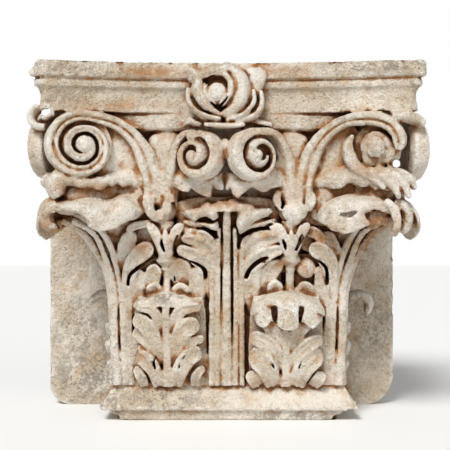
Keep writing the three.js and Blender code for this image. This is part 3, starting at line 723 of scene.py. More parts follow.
def left_low_leaf():
    low_leaf_body(-BAY, -151, -34)
    lobes(-BAY, RIGHT, [
        ([(9, -20, 108), (11, -34, 150), (22, -46, 180), (54, -46, 187)], (5, 9, 10, 7)),
        ([(12, -18, 92), (17, -32, 128), (30, -40, 152), (52, -36, 155)], (8, 13, 16, 13)),
        ([(13, -16, 90), (24, -28, 117), (40, -32, 130), (58, -26, 134)], (6, 7, 8, 6)),
        ([(14, -8, 57), (21, -26, 84), (36, -32, 106), (54, -26, 112)], (10, 13, 14, 11)),
        ([(44, -6, 57), (47, -20, 76), (58, -22, 88)], (8, 8, 6)),
    ])
    lobes(-BAY, LEFT, [
        ([(9, -20, 118), (11, -36, 160), (24, -46, 181), (48, -44, 184)], (4, 8, 8, 4)),
        ([(12, -18, 96), (20, -32, 134), (34, -38, 156), (52, -32, 168)], (7, 12, 14, 11)),
        ([(13, -16, 92), (26, -28, 120), (40, -32, 136), (53, -26, 146)], (6, 8, 9, 7)),
        ([(16, -16, 88), (28, -24, 108), (46, -26, 122)], (5, 6, 6)),
        ([(15, -8, 57), (22, -24, 84), (34, -30, 100), (48, -24, 106)], (9, 12, 14, 11)),
        ([(38, -6, 57), (43, -18, 74), (50, -20, 88)], (8, 9, 7)),
    ])
    # the head has broken off flat
    plate(
        [
            (-151, -28, 185), (-147, -30, 193), (-132, -32, 199), (-116, -34, 205), (-98, -36, 209), (-78, -34, 205),
            (-62, -32, 201), (-48, -30, 194), (-41, -30, 187), (-44, -44, 181), (-58, -50, 178), (-78, -52, 182),
            (-90, -54, 186), (-104, -54, 186), (-118, -50, 184), (-136, -44, 181), (-147, -36, 182),
        ],
        [(-130, -48, 190), (-97, -56, 194), (-58, -50, 189)], 24, 3, 1.5,
    )


def right_low_leaf():
    cx = BAY - 5
    low_leaf_body(cx, 33, 152)
    veins = {"grooves": ((-0.35, 0.2, 2.2), (0.35, 0.2, 2.2))}
    lobes(cx, LEFT, [
        ([(10, -18, 90), (13, -34, 130), (26, -42, 158), (44, -40, 166)], (7, 11, 13, 9)),
        ([(12, -18, 84), (19, -32, 112), (36, -38, 131), (58, -32, 137)], (8, 13, 14, 9)),
        ([(20, -8, 58), (29, -28, 84), (43, -32, 102), (58, -26, 108)], (13, 17, 18, 12)),
        ([(46, -6, 58), (53, -20, 70), (60, -20, 80)], (10, 11, 8)),
    ], **veins)
    lobes(cx, RIGHT, [
        ([(10, -18, 90), (13, -34, 130), (26, -42, 158), (42, -40, 166)], (7, 11, 13, 9)),
        ([(12, -18, 84), (20, -32, 110), (38, -38, 127), (58, -32, 134)], (8, 11, 12, 8)),
        ([(18, -8, 58), (27, -28, 84), (42, -32, 102), (58, -26, 110)], (13, 16, 17, 12)),
        ([(46, -6, 58), (53, -20, 70), (60, -20, 79)], (10, 11, 8)),
    ], **veins)
    # the head bends over in three scalloped lobes
    plate(
        [
            (35, -38, 176), (38, -36, 186), (44, -34, 194), (52, -34, 201), (64, -34, 204), (78, -34, 208),
            (93, -34, 209), (108, -34, 208), (124, -34, 204), (136, -34, 200), (145, -34, 193), (151, -36, 184),
            (153, -42, 176), (152, -44, 170), (146, -48, 171), (146, -54, 164), (140, -56, 157), (132, -58, 152),
            (124, -60, 156), (118, -62, 162), (112, -64, 160), (108, -66, 155), (101, -66, 151), (93, -66, 150),
            (85, -66, 151), (79, -66, 155), (74, -64, 160), (68, -62, 164), (62, -60, 157), (55, -58, 154),
            (48, -56, 157), (43, -52, 163), (41, -46, 171), (36, -42, 171),
        ],
        [(58, -58, 184), (93, -68, 184), (130, -58, 184)], 15, 2.6, 4.0,
    )
    for x, z, rx, rz in ((54, 165, 11, 12), (93, 166, 16, 14), (132, 165, 11, 12)):
        lump((x, -57 + abs(x - 93) * 0.2, z), (rx, 9, rz))


def side_leaf(side):
    """The small leaf on a side face: a wavy edge, and a tip that bends out sideways."""
    edge = [
        (176, 56), (190, 60), (198, 72), (202, 84), (196, 93), (202, 103), (205, 117), (198, 126), (203, 136),
        (204, 150), (196, 159), (199, 170), (190, 180), (176, 186),
    ]
    plate([(side * x, 46, z) for x, z in edge], [(side * 180, 38, 80), (side * 182, 38, 160)], 40, furrow=5)
    if side == LEFT:
        tip = [
            (-186, 186), (-192, 197), (-204, 205), (-218, 204), (-230, 196), (-234, 185), (-228, 180), (-218, 187),
            (-207, 190), (-199, 185), (-194, 174), (-186, 170),
        ]
        crown = [(-192, 186), (-206, 197), (-228, 189)]
    else:
        tip = [
            (188, 172), (192, 188), (203, 200), (219, 205), (234, 201), (242, 192), (244, 182), (240, 170), (233, 162),
            (230, 170), (230, 181), (222, 188), (211, 188), (202, 180), (199, 168),
        ]
        crown = [(196, 182), (216, 197), (236, 182)]
    plate([(x, 52, z) for x, z in tip], [(x, 40, z) for x, z in crown], 30)


# ---------------------------------------------------------------- leaves that carry the scrolls
def volute_leaves():
    plate(
        [
            (-126, -50, 386), (-132, -52, 396), (-150, -56, 400), (-170, -64, 398), (-190, -74, 393), (-206, -82, 388),
            (-222, -88, 388), (-240, -92, 393), (-256, -96, 399), (-268, -96, 396), (-279, -94, 384), (-279, -96, 370),
            (-275, -98, 360), (-268, -100, 354), (-260, -100, 355), (-252, -100, 362), (-248, -98, 374),
            (-236, -96, 374), (-224, -92, 371), (-208, -88, 371), (-202, -88, 368), (-194, -84, 369), (-186, -80, 376),
            (-180, -78, 374), (-172, -74, 379), (-164, -68, 373), (-156, -64, 376), (-146, -58, 372), (-132, -52, 374),
        ],
        [(-142, -60, 386), (-200, -90, 381), (-240, -102, 384), (-266, -108, 378)], 22, 2.2, 3.0,
    )
    plate(
        [
            (126, -50, 380), (130, -52, 392), (142, -54, 400), (158, -60, 404), (172, -68, 403), (184, -74, 408),
            (205, -84, 404), (230, -92, 396), (250, -98, 396), (268, -98, 393), (277, -94, 385), (274, -94, 378),
            (262, -96, 374), (252, -98, 368), (240, -98, 366), (232, -96, 369), (224, -94, 367), (216, -92, 373),
            (204, -86, 372), (192, -82, 378), (184, -78, 376), (174, -72, 371), (162, -66, 370), (152, -60, 374),
            (142, -56, 372), (132, -52, 375),
        ],
        [(142, -60, 386), (200, -92, 386), (262, -106, 384)], 22, 2.2, 3.5,
    )
    for path in (
        [(204, -90, 398), (232, -104, 388), (250, -108, 374), (259, -108, 353)],
        [(226, -92, 400), (252, -106, 388), (266, -108, 374), (274, -108, 354)],
        [(244, -90, 400), (266, -100, 390), (278, -98, 380), (285, -96, 367)],
    ):
        sweep(path, (7, 8.5, 7.5, 4), (20, 18, 10), cup=(-0.3,))
    sweep([(212, -92, 388), (228, -102, 380), (238, -102, 368)], (5, 6, 4), (16, 12))
    for side in (LEFT, RIGHT):
        path = round_corner([(140, -50, 384), (190, -72, 384), (236, -90, 384), (262, -96, 382)], CORNER_SUM + 14)
        sweep(mirror(side, path), (9, 12, 13, 12), (16,), face=(side, 0, 0), cup=(-0.3,))


def helix_leaves():
    """The pointed skirts under the two small scrolls."""
    plate(
        [
            (-96, -46, 384), (-90, -50, 396), (-74, -58, 402), (-50, -64, 400), (-26, -66, 398), (-14, -66, 398),
            (-7, -66, 396), (-7, -70, 370), (-16, -70, 369), (-24, -72, 371), (-26, -73, 360), (-28, -74, 357),
            (-38, -74, 359), (-48, -72, 364), (-54, -70, 369), (-58, -70, 372), (-61, -70, 366), (-70, -68, 366),
            (-78, -64, 370), (-88, -56, 374),
        ],
        [(-80, -62, 388), (-45, -76, 388), (-14, -76, 388)], 18, 2.4, 3.0,
    )
    plate(
        [
            (-5, -66, 396), (6, -66, 398), (26, -66, 394), (50, -64, 396), (70, -60, 404), (88, -52, 398),
            (96, -46, 386), (86, -58, 376), (78, -62, 374), (68, -68, 372), (58, -70, 366), (50, -71, 366),
            (42, -72, 371), (36, -72, 373), (30, -73, 368), (22, -75, 362), (14, -76, 355), (7, -74, 363),
            (4, -73, 371), (-4, -70, 369),
        ],
        [(8, -76, 388), (40, -76, 384), (80, -62, 390)], 18, 2.4, 3.0,
    )


# ---------------------------------------------------------------- rose
def rose():
    lump((-6, -58, 516), (48, 26, 46))
    lump((-17, -92, 515), (16.5, 15, 16.5), 0.03, 8)
    # the two big petals round the bud
    plate(
        [
            (-50, -84, 541), (-57, -84, 528), (-56, -86, 514), (-50, -88, 501), (-39, -90, 490), (-25, -92, 483),
            (-11, -92, 478), (-7, -92, 482), (-15, -94, 488), (-24, -94, 495), (-31, -94, 504), (-35, -92, 515),
            (-37, -90, 526), (-41, -86, 538),
        ],
        [(-46, -98, 524), (-38, -102, 503), (-22, -101, 491)], 26,
    )
    plate(
        [
            (0, -84, 560), (13, -84, 557), (25, -84, 548), (32, -84, 535), (35, -86, 520), (33, -88, 505),
            (26, -90, 491), (14, -92, 481), (0, -92, 475), (-9, -92, 478), (-14, -92, 484), (-5, -94, 492),
            (3, -95, 502), (8, -94, 514), (8, -92, 527), (2, -88, 540),
        ],
        [(16, -98, 545), (23, -103, 524), (18, -106, 503), (2, -102, 487)], 26,
    )
    sweep([(-6, -88, 545), (3, -93, 533), (4, -95, 517), (-3, -96, 504), (-13, -96, 496)], (4, 5, 5, 4.5, 3), (20,))
    sweep([(-34, -90, 530), (-35, -94, 515), (-29, -96, 503), (-20, -97, 496)], (3, 3.5, 3.5, 2.5), (20,))
    # thin rims under them
    for path, half in (
        ([(-62, -74, 522), (-60, -80, 503), (-51, -84, 489), (-35, -88, 479), (-10, -90, 473)], (4, 4.5, 4, 3.5, 3)),
        ([(38, -82, 520), (39, -84, 503), (31, -87, 489), (18, -89, 479), (-4, -90, 472)], (3.5, 4, 4, 3.5, 3)),
        ([(50, -74, 520), (51, -77, 500), (43, -80, 484), (26, -84, 474), (8, -86, 470)], (4, 5, 5, 4, 3)),
    ):
        sweep(path, half, (24,), cup=(0.2,))
    # the wide petals behind: the right one stands up to a corner, the top is rubbed away
    plate(
        [
            (20, -66, 560), (34, -70, 561), (47, -74, 559), (57, -76, 553), (59, -76, 545), (57, -76, 536),
            (50, -76, 518), (40, -74, 502), (30, -74, 520), (24, -70, 545),
        ],
        [(42, -84, 545), (42, -82, 522)], 26,
    )
    plate(
        [
            (-67, -66, 554), (-60, -68, 559), (-46, -70, 553), (-34, -74, 557), (-20, -78, 562), (-4, -80, 565),
            (8, -80, 562), (6, -86, 548), (-6, -90, 542), (-16, -92, 543), (-26, -92, 543), (-36, -90, 539),
            (-50, -82, 533), (-61, -76, 536),
        ],
        [(-46, -90, 546), (-8, -94, 552)], 30, 2.4, 2.0,
    )
    # the pointed sepal at the left, and the calyx under the rose
    plate(
        [
            (-71, -62, 467), (-67, -66, 475), (-61, -70, 481), (-54, -74, 479), (-46, -76, 475), (-38, -78, 472),
            (-42, -78, 467), (-52, -76, 466), (-60, -70, 469),
        ],
        [(-54, -82, 475)], 22,
    )
    sweep([(-35, -82, 468), (-8, -88, 466), (26, -84, 467)], (4, 4, 4), (24,), square=4)
    sweep([(36, -66, 474), (50, -70, 472), (68, -66, 468)], (5, 5, 4), (18,), square=3)


# ---------------------------------------------------------------- drilled hollows and breaks
def hollows():
    # teardrops in the bent head of the right low leaf
    for x in (71, 115):
        drill([(x, -66, 188), (x - (x - 93) * 0.08, -68, 176), (x - (x - 93) * 0.12, -64, 158)], (5.5, 4.5, 1.6), 28, 6)
    # long eyes between the lobes of the tall leaves
    drill([(-36, -30, 228), (-38, -34, 244), (-52, -38, 256), (-76, -40, 268)], (3.5, 3.5, 3, 2.5))
    drill([(28, -30, 229), (36, -34, 246), (56, -38, 262), (86, -40, 270)], (3.5, 4, 4, 3))
    drill([(-160, -24, 218), (-155, -30, 238), (-136, -38, 252), (-110, -40, 266)], (3.5, 3.5, 4, 4))
    drill([(158, -24, 220), (156, -32, 245), (146, -38, 258), (132, -38, 264)], (3.5, 3, 3, 2))
    drill([(18, -46, 292), (26, -50, 301), (40, -54, 308), (66, -52, 311)], (3.5, 4.5, 4, 3), 36)
    drill([(-20, -46, 297), (-28, -52, 306), (-42, -52, 312)], (4, 4.5, 4), 36)
    # beside the stems and in the cups of the leaf stalks
    for path, half in (
        ([(-108, -20, 215), (-104, -22, 236)], (4, 3)), ([(88, -20, 214), (89, -22, 238)], (4, 4)),
        ([(100, -20, 214), (101, -22, 240)], (2, 2)), ([(-85, -20, 224), (-86, -22, 240)], (2, 2)),
        ([(-100, -50, 272), (-104, -54, 284), (-105, -58, 294)], (1.5, 3, 1.5)),
        ([(-86, -50, 271), (-83, -54, 284), (-79, -58, 300)], (2, 3.5, 1.5)),
        ([(106, -50, 274), (112, -54, 288), (117, -58, 302)], (2, 3.5, 1.5)),
        ([(90, -50, 276), (88, -54, 286), (84, -58, 296)], (1.5, 3, 1.5)),
        ([(84, -60, 338), (87, -60, 352)], (2.5, 3)),
        ([(-84, -66, 330), (-84, -66, 340), (-86, -66, 350)], (2.5, 4, 2)), ([(-111, -66, 336), (-113, -66, 343)], (1.5, 1.8)),
        ([(-116, -30, 84), (-118, -30, 96), (-116, -32, 106)], (1.4, 2.3, 1.2)),
        ([(73, -30, 86), (69, -32, 98), (62, -34, 108)], (1.4, 2.3, 1.2)),
        ([(112, -30, 86), (116, -32, 100), (124, -34, 112)], (1.4, 2.3, 1.2)),
        ([(-78, -28, 86), (-76, -30, 100), (-66, -34, 112)], (1.4, 2.3, 1.2)),
    ):
        drill(path, half, 26)
    # the rose, its bud and the hole between the helices
    drill([(-35, -100, 529), (-30, -104, 536), (-21, -104, 539), (-11, -102, 536)], (2.5, 4, 4, 2), 34)
    drill([(-27, -102, 501), (-18, -104, 495), (-8, -104, 499), (0, -102, 509)], (1.5, 2.5, 2, 1.2), 26)
    lump((11, -104, 521), (2.2, 9, 2.2), cut=True)
    lump((-5.5, -110, 428), (3, 14, 2.5), cut=True)


def sight_hole(x, z, half):
    """A hole right through, seen end on from the front."""
    eye = np.array([-5, -1620, 314.0])
    mark = np.array([x, -90, z])
    path = [eye + (mark - eye) * k for k in (0.97, 1.04, 1.1)]
    sweep(path, (half,), (half * 2,), face=(0, 0, 1), square=2.2, tip=False, cut=True)


def chips():
    """Small chips, scattered along the edges that stand out."""
    rng = np.random.RandomState(11)
    edges = (
        (40, (-300, 566), (303, 566), -2, (3, 9)), (34, (-300, 541), (303, 541), -1, (2.5, 5)),
        (30, (-290, 489), (290, 489), 9, (2.5, 5.5)),
    )
    for count, (x0, z0), (x1, z1), back, (small, large) in edges:
        for _ in range(count):
            x = x0 + (x1 - x0) * rng.rand()
            y = ABACUS_HORN + ABACUS_SAG * (1 - (x / ABACUS_HALF) ** 2) + back
            r = small + (large - small) * rng.rand() ** 3
            lump((x, y - r * 0.45, z0), (r * 1.7, r, r * 0.8), 0.35, rng.randint(99), cut=True)
    for count, x0, x1, y, z, small, large in (
        (34, -206, 208, -25, 26, 2.5, 6), (16, -184, 180, -17, 0, 3, 7), (12, -206, 208, -25, 17, 2, 4),
    ):
        for _ in range(count):
            r = small + (large - small) * rng.rand() ** 2
            lump((x0 + (x1 - x0) * rng.rand(), y - r * 0.4, z), (r * 1.8, r, r * 0.8), 0.35, rng.randint(99), cut=True)
    for x in (SLAB_LEFT, SLAB_RIGHT):
        for _ in range(26):
            r = 2.5 + 5 * rng.rand() ** 2
            lump((x, SLAB_FRONT, 40 + 430 * rng.rand()), (r * 0.7, r, r * 1.8), 0.35, rng.randint(99), cut=True)


def breaks():
    sight_hole(-280, 486, 6)
    sight_hole(-272, 489, 4.5)
    sight_hole(257, 408, 6.5)
    # the left horn of the abacus is broken off on the slant
    loft([
        [(-320, -130, 600), (-280, -130, 600), (-290, -130, 566), (-309, -130, 538), (-320, -130, 538)],
        [(-320, 140, 600), (-286, 140, 600), (-290, 140, 566), (-309, 140, 538), (-320, 140, 538)],
    ], cut=True)
    # chips along the base
    lump((182, -20, 4), (14, 22, 9), 0.25, 41, cut=True)
    lump((-188, -16, 2), (14, 24, 10), 0.15, 42, cut=True)
    # the broken edge of the umbrella leaves
    lump((-240, -112, 318), (28, 26, 18), 0.15, 43, cut=True)


# ---------------------------------------------------------------- fusing, cutting and wearing the skin
def mesh_object(name, parts):
    points, faces, offset = [], [], 0
    for p, f in parts:
        points.append(p)
        faces.extend(tuple(i + offset for i in face) for face in f)
        offset += len(p)
    mesh = bpy.data.meshes.new(name)
    mesh.from_pydata((np.concatenate(points) + SHIFT).tolist(), [], faces)
    made = bpy.data.objects.new(name, mesh)
    bpy.context.scene.collection.objects.link(made)
    return made


def baked(obj, *modifiers):
    """Applies modifiers, given as (kind, settings), and leaves the result as the object's mesh."""
    for kind, settings in modifiers:
        modifier = obj.modifiers.new(kind.lower(), kind)
        for key, value in settings.items():
            setattr(modifier, key, value)
        depsgraph = bpy.context.evaluated_depsgraph_get()
        mesh = bpy.data.meshes.new_from_object(obj.evaluated_get(depsgraph))
        obj.modifiers.clear()
        old = obj.data
        obj.data = mesh
        bpy.data.meshes.remove(old)
    return obj


def fused(name, parts):
    obj = mesh_object(name, parts)
    bm = bmesh.new()
    bm.from_mesh(obj.data)
    bmesh.ops.recalc_face_normals(bm, faces=bm.faces)
    bm.to_mesh(obj.data)
    bm.free()
    return baked(obj, ("REMESH", {"mode": "VOXEL", "voxel_size": GRAIN, "adaptivity": 0.0}))


def coords(mesh):
    flat = np.empty(len(mesh.vertices) * 3, np.float32)
    mesh.vertices.foreach_get("co", flat)
    return flat.reshape(-1, 3).astype(float)


def normals(mesh):
    flat = np.empty(len(mesh.vertices) * 3, np.float32)
    mesh.vertices.foreach_get("normal", flat)
    return flat.reshape(-1, 3).astype(float)


def set_coords(mesh, points):
    mesh.vertices.foreach_set("co", points.astype(np.float32).ravel())
    mesh.update()


def edges_of(mesh):
    flat = np.empty(len(mesh.edges) * 2, np.int32)
    mesh.edges.foreach_get("vertices", flat)
    return flat.reshape(-1, 2)


def neighbour_mean(values, edges, count):
    total = np.zeros_like(values)
    np.add.at(total, edges[:, 0], values[edges[:, 1]])
    np.add.at(total, edges[:, 1], values[edges[:, 0]])
    return total / np.maximum(count, 1)[:, None] if values.ndim == 2 else total / np.maximum(count, 1)


def near_spots(points, spots):
    """How much each point lies in any of the spots, which are (x, z, reach across, reach up, strength)."""
    total = np.zeros(len(points))
    for x, z, across, up, strength in spots:
        total = np.maximum(total, strength * np.exp(-(((points[:, 0] - x) / across) ** 2) - ((points[:, 2] - z) / up) ** 2))
    return total


# where the stone is broken or has weathered into crags
CRAGS = [
    (-103, 355, 34, 40, 1.0), (-2, 344, 44, 12, 1.3), (-97, 196, 52, 14, 0.9), (-150, 365, 34, 22, 0.9),
    (-205, 388, 70, 12, 0.7), (-205, 318, 60, 22, 0.6), (222, 318, 40, 26, 1.0), (228, 425, 32, 34, 0.9),
    (-55, 450, 24, 18, 1.0), (200, 385, 80, 22, 0.7), (0, 560, 330, 8, 0.8), (-295, 550, 26, 30, 1.0),
    (-20, 548, 60, 16, 0.6), (0, 40, 230, 16, 0.5), (-60, 305, 30, 22, 0.8), (60, 340, 40, 16, 0.8),
    (140, 298, 26, 14, 0.9), (-190, 15, 40, 30, 0.8), (200, 15, 40, 30, 0.8), (-300, 20, 40, 60, 0.6),
]


def wear(obj):
    """Rounds the sharp edges unevenly, then ripples, pits and breaks up the surface."""
    mesh = obj.data
    points = coords(mesh)
    edges = edges_of(mesh)
    count = np.bincount(edges.ravel(), minlength=len(points))
    worn = np.clip(0.5 + 0.6 * noise(points, 26, 3), 0.1, 1)
    points += (neighbour_mean(points, edges, count) - points) * worn[:, None] * 0.7
    set_coords(mesh, points)
    out = normals(mesh)
    carve = points - SHIFT
    behind = carve[:, 1] > SLAB_FRONT + 20
    calm = np.where(behind | (carve[:, 2] < 1.5), 0.15, 1.0)
    ripple = 0.7 * noise(points, 19, 1) + 0.5 * noise(points, 8, 2) + 0.22 * noise(points, 3.6, 4)
    pits = -1.1 * smoothstep(0.5, 0.85, noise(points, 5, 6)) * smoothstep(0.0, 0.5, noise(points, 40, 8))
    crag = (1 - 2 * np.abs(noise(points, 13, 9))) * 2.2 + (1 - 2 * np.abs(noise(points, 6, 10))) * 1.2
    broken = near_spots(carve, CRAGS) * (carve[:, 1] < 60)
    move = (ripple + pits) * calm + (crag - 1.8) * broken
    set_coords(mesh, points + out * move[:, None])


def attribute(mesh, name, values):
    made = mesh.attributes.new(name, "FLOAT", "POINT")
    made.data.foreach_set("value", values.astype(np.float32))


# stains: orange-brown rust, with painted shade in the named spots under the abacus, the lip and the leaf tips and in
# the broken hollow of the right one, grey lichen and crust, and the bright marble of the worn curls
RUST_AND_SHADE_SPOTS = [
    (-210, 366, 70, 10, 0.9), (-275, 318, 14, 12, 1.0), (-135, 280, 22, 12, 0.8), (-80, 258, 16, 16, 0.7),
    (-75, 286, 22, 16, 0.6), (84, 252, 16, 12, 0.9), (63, 298, 14, 8, 0.9), (124, 246, 16, 16, 0.7),
    (145, 296, 26, 14, 0.8), (-95, 325, 24, 12, 0.8), (-55, 355, 46, 14, 0.7), (55, 358, 50, 14, 0.7),
    (150, 362, 20, 10, 0.4), (-118, 550, 52, 8, 0.9), (85, 552, 30, 8, 0.7), (-58, 176, 14, 14, 0.5),
    (-140, 106, 10, 10, 0.7), (30, 130, 12, 70, 0.5), (215, 398, 40, 14, 0.5), (205, 445, 26, 14, 0.5),
    (-30, 490, 40, 12, 0.5), (228, 285, 24, 52, 0.8), (-60, 425, 22, 22, 0.4), (0, 455, 40, 10, 0.5),
    (-170, 500, 90, 6, 0.5), (120, 62, 90, 6, 0.5), (230, 318, 26, 15, 1.0), (-262, 308, 24, 22, 0.8),
    (-88, 455, 26, 8, 0.7), (88, 455, 26, 8, 0.7), (0, 486, 230, 4, 0.4), (-10, 350, 70, 14, 0.8),
]
GREY = [
    (-255, 130, 50, 80, 0.7), (-240, 50, 70, 50, 1.0), (-270, 250, 30, 60, 0.3), (250, 120, 50, 60, 0.7),
    (228, 280, 26, 50, 0.9), (-200, 555, 120, 12, 0.5), (230, 556, 90, 12, 0.6), (-100, 36, 90, 16, 0.6),
    (100, 8, 120, 10, 0.6), (-250, 510, 60, 16, 0.3), (-97, 200, 40, 8, 0.7), (150, 480, 50, 14, 0.3),
    (205, 190, 20, 50, 0.6), (-195, 120, 16, 60, 0.5),
]
PALE = [
    (-205, 335, 70, 20, 0.7), (172, 335, 38, 26, 0.9), (93, 180, 60, 26, 1.0), (104, 333, 20, 14, 0.9),
    (-222, 437, 16, 16, 0.5), (45, 420, 12, 12, 0.6), (228, 432, 18, 18, 0.7), (-18, 517, 18, 18, 0.8),
    (250, 375, 40, 22, 0.6), (-40, 372, 50, 16, 0.6), (25, 372, 50, 16, 0.7), (-15, 430, 20, 40, 0.4),
    (75, 300, 18, 10, 0.6), (-140, 315, 18, 8, 0.6), (-60, 470, 16, 14, 0.6), (20, 510, 24, 30, 0.4),
    (-195, 379, 14, 12, 0.7), (-150, 240, 30, 50, 0.3), (-45, 235, 24, 50, 0.3), (60, 250, 40, 40, 0.3),
]


def shade_masks(obj):
    """Stores on every vertex how open it is to the air, near and far (the marble paints shade from these), how sharply
    the surface bends, and its stains, whose rust spots also paint shade.
    """
    mesh = obj.data
    points, out = coords(mesh), normals(mesh)
    edges = edges_of(mesh)
    count = np.bincount(edges.ravel(), minlength=len(points))
    tree = BVHTree.FromPolygons(points.tolist(), [tuple(p.vertices) for p in mesh.polygons])
    rng = np.random.RandomState(5)
    rays = 18
    near, far = np.zeros(len(points)), np.zeros(len(points))
    start = (points + out * 0.6).tolist()
    for _ in range(rays):
        direction = rng.normal(size=out.shape)
        direction /= np.linalg.norm(direction, axis=1)[:, None]
        direction = (direction + out * 1.02).tolist()
        distance = np.array([tree.ray_cast(a, d, 110.0)[3] or 1e4 for a, d in zip(start, direction)])
        near += np.exp(-distance / 10)
        far += np.exp(-distance / 50)
    near, far = near / rays, far / rays
    bend = ((neighbour_mean(points, edges, count) - points) * out).sum(1)
    for _ in range(2):
        bend = 0.5 * bend + 0.5 * neighbour_mean(bend, edges, count)
        near = 0.6 * near + 0.4 * neighbour_mean(near, edges, count)
        far = 0.5 * far + 0.5 * neighbour_mean(far, edges, count)
    carve = points - SHIFT
    front = np.clip((150 - carve[:, 1]) / 30, 0, 1)
    for name, values in (
        ("near", near), ("far", far), ("bend", bend), ("rust_and_shade", near_spots(carve, RUST_AND_SHADE_SPOTS) * front),
        ("grey", near_spots(carve, GREY) * front), ("pale", near_spots(carve, PALE) * front),
    ):
        attribute(mesh, name, values)


def build():
    slab()
    pilaster()
    abacus()
    volutes()
    helices()
    for side in (LEFT, RIGHT):
        corner_leaf(side)
        leaf_stalk(side)
        side_leaf(side)
    corner_masses()
    corner_tips()
    centre_leaf()
    trunks()
    left_bay()
    right_bay()
    left_low_leaf()
    right_low_leaf()
    volute_leaves()
    helix_leaves()
    rose()
    hollows()
    chips()
    breaks()
    stone = fused("carved_marble", STONE)
    cutters = fused("cutters", CUTS)
    baked(stone, ("BOOLEAN", {"operation": "DIFFERENCE", "object": cutters, "solver": "MANIFOLD"}))
    bpy.data.objects.remove(cutters)
    wear(stone)
    faces = len(stone.data.polygons) * 2
    baked(stone, ("DECIMATE", {"ratio": min(1.0, TRIANGLES / faces), "use_collapse_triangulate": True}))
    shade_masks(stone)
    points = coords(stone.data) / 1000
    low, high = np.array(CAD_LOW), np.array(CAD_HIGH)
    set_coords(stone.data, np.clip(points, low, high))
    stone.data.shade_smooth()
    return stone


stone = build()
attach(stone, "root")
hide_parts("capital")


# ---------------------------------------------------------------- marble
STONE_DARK = (0.62, 0.52, 0.39, 1)
STONE_LIGHT = (0.84, 0.765, 0.655, 1)
STONE_WARM = (0.60, 0.385, 0.20, 1)
STONE_GREY = (0.36, 0.31, 0.245, 1)
STONE_PALE = (0.90, 0.86, 0.79, 1)
LICHEN = (0.17, 0.15, 0.125, 1)
SPECKS = (0.14, 0.095, 0.06, 1)
OCHRE = (0.46, 0.205, 0.062, 1)
RUST_AND_SHADE_BROWN = (0.185, 0.065, 0.019, 1)
GRIME_AND_SHADE = (0.028, 0.012, 0.005, 1)
DIRT_AND_SHADE_WASH = (0.75, 0.50, 0.31, 1)


